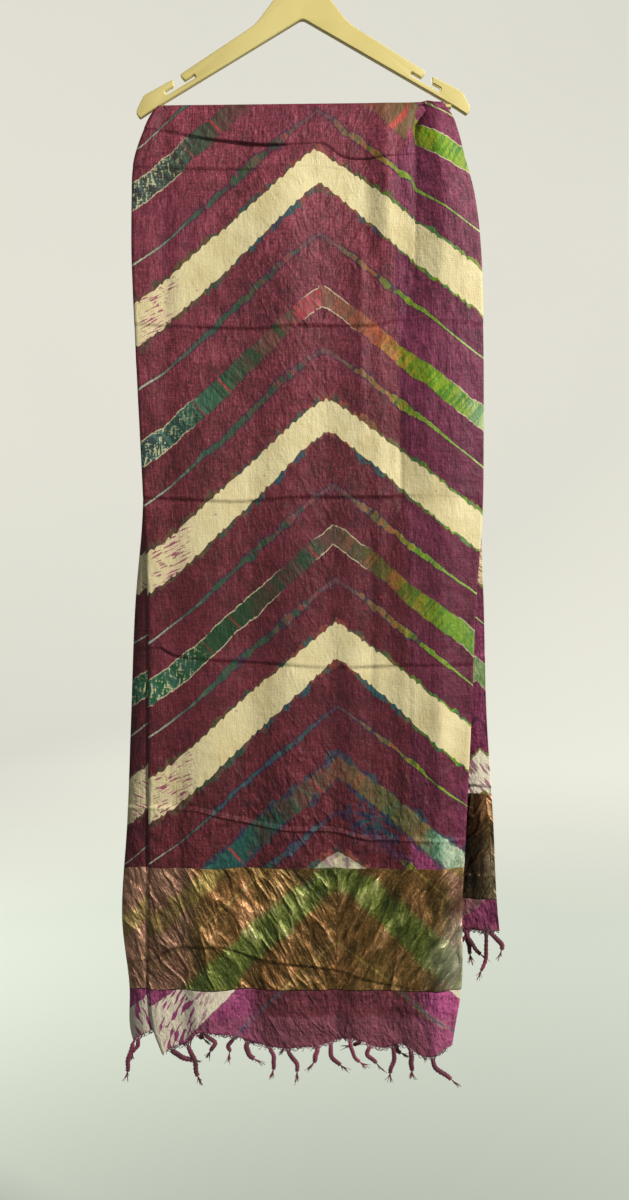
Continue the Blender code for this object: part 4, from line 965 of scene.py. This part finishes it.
    # relief: crumple, slubs and the weave
    fine = field(across * 1500, along * 90, 0, 1) + field(across * 90, along * 1500, 0, 1)
    crumpled = field(across * 120, along * 52, 2, 3, 0.6)
    folded = abs(field(across * 30, along * 17, 11, 3, 0.6) - 0.5) * 3
    radiating = (1 - abs(field(over * 52, down * 9, hand + 9) - 0.5) * 12).max(0)
    radiating = radiating * sideways.fade(0.06, 0.16) * patches.step(0.35, 0.6)
    creased = (crumpled * 0.36 - folded.min(0.35) * 0.4 + radiating * 0.13) * (1 - 0.55 * creamMask)
    creased = creased * (1 + 1.3 * along.step(0.8, 0.95) * (1 - inBorder))
    surface = bump(creased + inBorder * (rumpled * 2 + ridges * 0.9 + glint), 0.0050, 0.85)
    surface = bump(grain + warp * 0.7 + weft * 0.5, 0.0009, 0.6, surface)
    surface = bump(fine, 0.0003, 0.5, surface)
    plug(shader, colour=colour, roughness=0.56 - 0.17 * inBorder + 0.12 * (warp - 0.5) - 0.06 * creamMask,
         metallic=inBorder * (0.5 - 0.25 * took), normal=surface)
    print("material", name)
    return made


frontSilk, backSilk = silkMaterial("wineSilkFront", frontDye), silkMaterial("wineSilkBack", backDye)
frontGrid, backGrid = PlyGrid(frontFall), PlyGrid(backFall)
frontCloth = clothPiece("frontCloth", frontGrid, frontSilk, "front_fall")
backCloth = clothPiece("backCloth", backGrid, backSilk, "back_fall")

fringe = {
    "cord": 3.1,                     # half the breadth of a twisted tassel
    "grooved": 0.34,                 # share of it that the groove between its two plies takes
    "turns": 4.5,
    "rings": 26,
    "sides": 12,
    "head": 3.0,                     # how far below the hem it begins, and how far above its tip it ends
    "tip": 9.0,
    "waver": 1.7,
    "tails": 14,
    "tailLength": (8.0, 17.0),
    "tailSpread": 0.20,
    "tailThread": 0.62,
    "gathered": 7,                   # warp ends that meet in each tassel's head
    "gatherReach": 6.0,
    "gatherThread": 0.5,
    "meets": 4,                      # the tassel's ring where they end
    "loose": 4.5,                    # between the loose weft loops along the hem
    "looseSpan": (5, 15),
    "looseDrop": (1.5, 6.0),
    "looseThread": 0.38,
    "stubs": 2.2,                    # between the cut warp ends
    "stubLength": (2.0, 6.5),
    "stubThread": 0.34,
    "stray": 4.0,
    "lean": 9.0,
    "bow": 6.0,
    # Tassels by rule: the X where they begin and end, their step, the shortest and longest, and the seed.
    "frontUnder": (-176, 190, 50, 16, 24, 5),
    "backOuter": (-185, 255, 34, 28, 46, 7),
    "backUnder": (-176, 255, 44, 22, 40, 11),
}

# Tassels: X of the root, sideways reach of the tip, bow and length.
frontTassels = (
    (-171, 27, -4, 22), (-149, 14, 1, 49), (-126, 8, 9, 29), (-88, -7, -3, 26),
    (-70, 9, -6, 30), (-42, 4, 5, 37), (-18, 15, 2, 36), (22, -6, 1, 28),
    (40, 10, -5, 37), (65, 12, -4, 36), (91, 8, -7, 30), (122, -4, 2, 42),
    (143, 1, 2, 36), (172, 24, -6, 35),
)
frontUnderTassels = [(-222, -9, 0, 48), (-214, -6, 1, 26)]
backUnderTassels = [(222, 20, -5, 42), (247, -5, 3, 60), (252, 17, 4, 32)]


# Tassels a step apart, each strayed, leaned and bowed by its own seeded share.
def tasselsByRule(rule):
    first, last, step, shortest, longest, seed = fringe[rule]
    rng = np.random.default_rng(seed)
    stray, lean, bow = fringe["stray"], fringe["lean"], fringe["bow"]
    return [(at + rng.uniform(-stray, stray), rng.uniform(-lean, lean), rng.uniform(-bow, bow),
             rng.uniform(shortest, longest)) for at in np.arange(first, last, step)]


# Tubes along many paths at once: each ring lies across its path, two-lobed where lobes is above 0 and
# turned on by an even share of the path, so that it reads as two plies twisted together.
def tubes(paths, radii, sides, lobes=0.0, turns=0.0):
    count, rings = paths.shape[:2]
    ahead = np.gradient(paths, axis=1)
    ahead /= np.linalg.norm(ahead, axis=2, keepdims=True)
    aside = np.cross(ahead, (0.0, 1.0, 0.0))
    aside /= np.linalg.norm(aside, axis=2, keepdims=True)
    third = np.cross(ahead, aside)
    angle = np.linspace(0, 2 * math.pi, sides, endpoint=False)
    spin = np.linspace(0, 2 * math.pi * turns, rings)[:, None]
    lobed = 1 - lobes + lobes * np.abs(np.cos(angle[None, :] - spin)) * 1.3
    across = (radii[..., None] * lobed[None]) * np.cos(angle)
    beside = (radii[..., None] * lobed[None]) * np.sin(angle)
    points = paths[:, :, None] + across[..., None] * aside[:, :, None] + beside[..., None] * third[:, :, None]
    index = np.arange(count * rings * sides).reshape(count, rings, sides)
    after = np.roll(index, -1, axis=2)
    quads = np.stack((index[:, :-1], after[:, :-1], after[:, 1:], index[:, 1:]), axis=-1).reshape(-1, 4)
    heads, feet = index[:, 0, ::-1].reshape(-1, sides), index[:, -1].reshape(-1, sides)
    return points.reshape(-1, 3), quads.tolist() + heads.tolist() + feet.tolist()


# The parts' points one after another, and their faces counted on to suit.
def joinedPiece(name, parts, material):
    points, faces, start = [], [], 0
    for found, loops in parts:
        points.append(found)
        faces += [[k + start for k in loop] for loop in loops]
        start += len(found)
    return meshPiece(name, np.concatenate(points), np.zeros((0, 4), int), material, extraFaces=faces)


def threadMaterial():
    constants = {"Roughness": 0.62, "Sheen Weight": 0.1, "Specular IOR Level": 0.3}
    made, shader = newMaterial("tasselThread", constants)
    place = Shade.node("TexCoord", out=3)
    broad, fibre = noise(place, 30), noise(place, 1400, 2, 0.6)
    colour = tones(broad * 0.5 + fibre * 0.5, (0.36, 42, 10, 24), (0.5, 82, 26, 44), (0.66, 136, 56, 86))
    plug(shader, colour=colour, roughness=0.56 + 0.16 * fibre, normal=bump(fibre, 0.0004, 0.7))
    return made


# The foot of one ply as points in order of X.
def hemLine(grid, under):
    foot = grid.grid()[0][-1]
    chosen = foot[(grid.turn > math.pi / 2) == under]
    return chosen[np.argsort(chosen[:, 0])]


# Twisted tassels: root + (lean t + bow sin(pi t), bow t / 4, -length t), then their loose ends, the warp
# ends gathered into each head, the loops of weft that hang from the raw hem, and the cut warp ends.
def fringePiece(name, grid, outerTassels, underTassels, node, seed):
    rng = np.random.default_rng(seed)
    parts = []
    for under, rows in ((False, outerTassels), (True, underTassels)):
        hem = hemLine(grid, under)
        firstX, lastX = hem[0, 0] / mm, hem[-1, 0] / mm
        rootX, (lean, bow, length) = np.array(rows)[:, 0], np.array(rows).T[1:, :, None]
        rootAt = lambda x: np.stack([np.interp(x * mm, hem[:, 0], hem[:, k]) for k in (0, 1, 2)], axis=-1)
        thin = lambda shape, thread: np.full(shape, fringe[thread] * mm)
        root = rootAt(rootX)
        count = len(rootX)
        t = np.linspace(0, 1, fringe["rings"])[None, :]
        wave = fringe["waver"] * np.sin(2 * math.pi * (t * 1.3 + rng.uniform(0, 1, (count, 1))))
        drop = fringe["head"] + (length - fringe["tip"]) * t
        path = root[:, None] + np.stack((lean * t + bow * np.sin(math.pi * t) + wave * t,
                                         0.25 * bow * t + 0.6 * wave * t, -drop), axis=-1) * mm
        breadth = fringe["cord"] * rng.uniform(0.82, 1.12, (count, 1)) * (0.92 + 0.16 * np.sin(math.pi * t))
        breadth = breadth * np.clip(0.45 + 5 * t, 0, 1) * mm
        parts.append(tubes(path, breadth, fringe["sides"], fringe["grooved"], fringe["turns"]))

        tails = count * fringe["tails"]
        end = np.repeat(path[:, -2], fringe["tails"], axis=0)
        heading = np.repeat(path[:, -1] - path[:, -4], fringe["tails"], axis=0)
        heading /= np.linalg.norm(heading, axis=1, keepdims=True)
        spread = rng.normal(0, fringe["tailSpread"], (tails, 3)) * (1.0, 0.8, 0.4)
        reach = rng.uniform(*fringe["tailLength"], (tails, 1, 1)) * mm
        u = np.linspace(0, 1, 7)[None, :, None]
        tail = end[:, None] + reach * (heading[:, None] * u + spread[:, None] * u * u)
        parts.append(tubes(tail, (1.15 - 0.75 * u[..., 0]) * thin((tails, 1), "tailThread"), 6))

        ends = fringe["gathered"]
        apart = np.linspace(-1, 1, ends)[None, :] * fringe["gatherReach"] + rng.uniform(-1, 1, (count, ends))
        begin = rootAt(np.clip(rootX[:, None] + apart, firstX + 1, lastX - 1)) + (0, 0, 0.0015)
        u = np.linspace(0, 1, 6)[None, None, :, None]
        sag = np.concatenate((u * 0, u * 0, -u * (1 - u)), axis=-1) * 0.004
        gathered = begin[:, :, None] * (1 - u) + path[:, None, fringe["meets"], None] * u + sag
        parts.append(tubes(gathered.reshape(-1, 6, 3), thin((count * ends, 6), "gatherThread"), 5))

        at = np.arange(firstX + 4, lastX - 12, fringe["loose"])
        at = at + rng.uniform(-3, 3, len(at))
        across = rng.uniform(*fringe["looseSpan"], len(at))
        first, last = rootAt(at), rootAt(np.minimum(at + across, lastX - 1))
        u = np.linspace(0, 1, 9)[None, :, None]
        deep = rng.uniform(*fringe["looseDrop"], (len(at), 1, 1)) * mm * 4 * u * (1 - u)
        slack = rng.normal(0, 1.2, (len(at), 1, 1)) * mm * np.sin(2 * math.pi * u)
        loop = first[:, None] * (1 - u) + last[:, None] * u + (0, 0, 0.001)
        loop = loop + deep * (0.0, 0.15, -1.0) + slack * (1.0, 0.4, 0.3)
        parts.append(tubes(loop, thin((len(at), 9), "looseThread"), 4))

        stubs = np.arange(firstX + 2, lastX - 2, fringe["stubs"])
        stubs = stubs + rng.uniform(-1, 1, len(stubs))
        u = np.linspace(0, 1, 5)[None, :, None]
        reach = rng.uniform(*fringe["stubLength"], (len(stubs), 1, 1)) * mm
        swing = rng.normal(0, 0.6, (len(stubs), 1, 1))
        bent = u * (0.0, 0.0, -1.0) + swing * u * u * (1.0, 0.3, 0.3)
        parts.append(tubes(rootAt(stubs)[:, None] + (0, 0, 0.001) + reach * bent,
                           thin((len(stubs), 5), "stubThread"), 4))
    made = joinedPiece(name, parts, thread)
    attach(made, "root")
    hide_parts(node)
    print(name, len(made.data.polygons), "faces")
    return made


thread = threadMaterial()
frontUnder = frontUnderTassels + tasselsByRule("frontUnder")
backOuter = tasselsByRule("backOuter")
backUnder = tasselsByRule("backUnder") + backUnderTassels
frontFringe = fringePiece("frontFringe", frontGrid, frontTassels, frontUnder, "front_fringe", 21)
backFringe = fringePiece("backFringe", backGrid, backOuter, backUnder, "back_fringe", 22)


def hangerPlastic():
    made, shader = newMaterial("hangerPlastic", {"Roughness": 0.42, "Specular IOR Level": 0.4})
    place = Shade.node("TexCoord", out=3)
    cloud, grain, scuff = noise(place, 9, 3), noise(place, 900), noise(place, 60, 4, 0.7)
    colour = mix(cloud.step(0.3, 0.7), tone(180, 167, 102), tone(190, 177, 114))
    colour = mix(scuff.step(0.62, 0.72) * 0.25, colour, tone(164, 150, 92))
    plug(shader, colour=colour, roughness=0.4 + 0.12 * cloud + 0.08 * scuff,
         normal=bump(grain + scuff * 0.5, 0.0002, 0.5))
    return made


def hookSteel():
    made, shader = newMaterial("hookSteel", {"Metallic": 1.0, "Roughness": 0.28})
    drawn = noise(Shade.node("TexCoord", out=3), 260, 3)
    colour = mix(drawn.step(0.35, 0.7), tone(176, 176, 174), tone(204, 203, 200))
    plug(shader, colour=colour, roughness=0.22 + 0.16 * drawn, normal=bump(drawn, 0.0001, 0.4))
    return made


plate = {
    "weld": 0.002, "flat": 0.6,      # the gap that is closed and the turn, in degrees, that is taken as flat
    "bevel": 1.1, "segments": 3, "sharp": 32.0,
}


# The plate's own solid with its corners rounded over. The bar it carries keeps its place.
def platePiece(name, node, material):
    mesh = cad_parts[node].data.copy()
    mesh.name = name
    shape = bmesh.new()
    shape.from_mesh(mesh)
    bmesh.ops.remove_doubles(shape, verts=shape.verts, dist=plate["weld"] * mm)
    bmesh.ops.dissolve_limit(shape, angle_limit=math.radians(plate["flat"]), verts=shape.verts,
                             edges=shape.edges)
    shape.to_mesh(mesh)
    shape.free()
    mesh.shade_smooth()
    mesh.materials.clear()
    mesh.materials.append(material)
    made = bpy.data.objects.new(name, mesh)
    bpy.context.collection.objects.link(made)
    rounding = made.modifiers.new("rounding", "BEVEL")
    rounding.width = plate["bevel"] * mm
    rounding.segments = plate["segments"]
    rounding.limit_method = "ANGLE"
    rounding.angle_limit = math.radians(plate["sharp"])
    rounding.harden_normals = True
    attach(made, "root")
    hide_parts(node)
    print(name, len(mesh.polygons), "faces before rounding")
    return made


hook = {
    "wire": 4.0, "inner": 18.0, "mouthAngle": 196.0, "neckAngle": -52.0, "stemTop": -54.0,
    "swing": 1.1, "foot": -87.6, "sides": 24,
    "arcRings": 90, "bendRings": 24, "tipRings": 8,
}


# The loop's arc from its mouth over the top, a cubic S down to the stem, then straight down. The tip is
# rounded by a ring radius that shrinks as a half circle.
def hookPiece(name, node, material):
    radius, centre = hook["inner"] + hook["wire"] / 2, -hook["inner"]
    angles = np.radians(np.linspace(hook["mouthAngle"], hook["neckAngle"], hook["arcRings"]))
    arc = np.stack((radius * np.cos(angles), centre + radius * np.sin(angles)), axis=1)
    start, neck = arc[-1], np.array((0.0, hook["stemTop"]))
    heading = np.array((math.sin(angles[-1]), -math.cos(angles[-1])))
    reach = np.linalg.norm(neck - start) * hook["swing"]
    t = np.linspace(0, 1, hook["bendRings"])[1:, None]
    bend = ((1 - t) ** 2 * (1 + 2 * t) * start + t * (1 - t) ** 2 * reach * heading
            + t * t * (3 - 2 * t) * neck + t * t * (t - 1) * reach * np.array((0.0, -1.0)))
    route = np.concatenate((arc, bend, [[0.0, hook["foot"]]]))
    half = hook["wire"] / 2
    step = (arc[0] - arc[1]) / np.linalg.norm(arc[0] - arc[1])
    cap = np.sin(np.linspace(0.08, math.pi / 2, hook["tipRings"]))
    tip = arc[0] - step * half + step * half * np.cos(np.arcsin(cap))[:, None]
    route = np.concatenate((tip, route[2:]))
    radii = np.full(len(route), half)
    radii[:len(cap)] = half * cap
    place = np.stack((route[:, 0], np.zeros(len(route)), route[:, 1]), axis=-1)[None] * mm
    made = joinedPiece(name, [tubes(place, radii[None] * mm, hook["sides"])], material)
    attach(made, "root")
    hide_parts(node)
    print(name, len(route), "rings")
    return made


plastic, steel = hangerPlastic(), hookSteel()
platePiece("hangerPlate", "hanger_frame", plastic)
hookPiece("hangerHook", "hanger_hook", steel)

studio = {
    "floor": -2.1, "flat": 3.6, "rim": 8.5, "wallTop": 7.5, "sides": 96,
    "camera": (0.018, -1.5, -0.900), "lens": 33.75,
    "ambient": 0.15,
    "glow": 0.60,                    # the backdrop's own light, which keeps it even
    # lamps: place, size, watts and colour, all turned to one point
    "aim": (0.0, 0.0, -0.8),
    "lamps": (
        ("keyLight", (2.4, -1.9, 1.0), 0.45, 226, (1.0, 0.96, 0.89)),
        ("fillLight", (-2.6, -2.6, -0.4), 1.6, 9, (0.90, 0.96, 1.0)),
        ("backLight", (-2.2, 2.0, 1.0), 0.45, 205, (1.0, 0.97, 0.92)),
        ("backFill", (2.6, 2.4, -0.4), 1.6, 14, (0.92, 0.96, 1.0)),
    ),
    # paint from under the cloth to the rim: darker where the lamps stand near
    "paint": ((0, 104, 111, 104), (0.35, 172, 178, 168), (0.6, 224, 225, 214), (1, 244, 242, 230)),
}


# A flat disc that bends up into a round wall: radius and height along one profile, turned about Z.
def backdrop():
    turn = np.linspace(0, math.pi / 2, 19)
    bend = studio["rim"] - studio["flat"]
    radius = np.concatenate((np.linspace(0.05, studio["flat"], 12), studio["flat"] + bend * np.sin(turn[1:]),
                             [studio["rim"]]))
    height = np.concatenate((np.full(12, studio["floor"]), studio["floor"] + bend * (1 - np.cos(turn[1:])),
                             [studio["wallTop"]]))
    around = np.linspace(0, 2 * math.pi, studio["sides"], endpoint=False)
    points = np.stack((radius[:, None] * np.cos(around), radius[:, None] * np.sin(around),
                       np.broadcast_to(height[:, None], (len(height), len(around)))), axis=-1)
    material, shader = newMaterial("backdropPaint", {"Roughness": 0.95, "Specular IOR Level": 0.05,
                                                     "Emission Strength": studio["glow"]})
    place = Shade.node("TexCoord", out=3)
    cloud = noise(place, 0.5)
    flat = Shade.node("VectorMath", {"operation": "MULTIPLY"}, {0: place, 1: (1, 1, 0)})
    outward = Shade.node("VectorMath", {"operation": "LENGTH"}, {0: flat}, out=1) / studio["rim"]
    paint = multiply(tones(outward, *studio["paint"]), mix(cloud, tone(250, 250, 250), tone(255, 255, 255)))
    plug(shader, colour=paint, emission=paint)
    made = meshPiece("backdrop", points, quadIndex(len(radius), len(around), True)[:, ::-1], material,
                     extraFaces=[range(len(around) - 1, -1, -1)])
    made.visible_shadow = False
    made.visible_diffuse = False


def softLight(name, place, size, watts, colour):
    data = bpy.data.lights.new(name, "AREA")
    data.shape = "DISK"
    data.size = size
    data.energy = watts
    data.color = colour
    made = bpy.data.objects.new(name, data)
    made.location = place
    made.rotation_euler = (Vector(studio["aim"]) - Vector(place)).to_track_quat("-Z", "Y").to_euler()
    bpy.context.collection.objects.link(made)


backdrop()
for lamp in studio["lamps"]:
    softLight(*lamp)
print(len(studio["lamps"]), "lamps")

world = bpy.data.worlds.new("studioWorld")
bpy.context.scene.world = world
world.use_nodes = True
world.node_tree.nodes["Background"].inputs[0].default_value = (0.97, 0.99, 1.0, 1.0)
world.node_tree.nodes["Background"].inputs[1].default_value = studio["ambient"]

camera = bpy.data.objects.new("camera", bpy.data.cameras.new("camera"))
camera.location = studio["camera"]
camera.rotation_euler = (math.pi / 2, 0, 0)
camera.data.sensor_width = 36
camera.data.lens = studio["lens"]
bpy.context.collection.objects.link(camera)
bpy.context.scene.camera = camera
bpy.context.scene.view_settings.view_transform = "Standard"
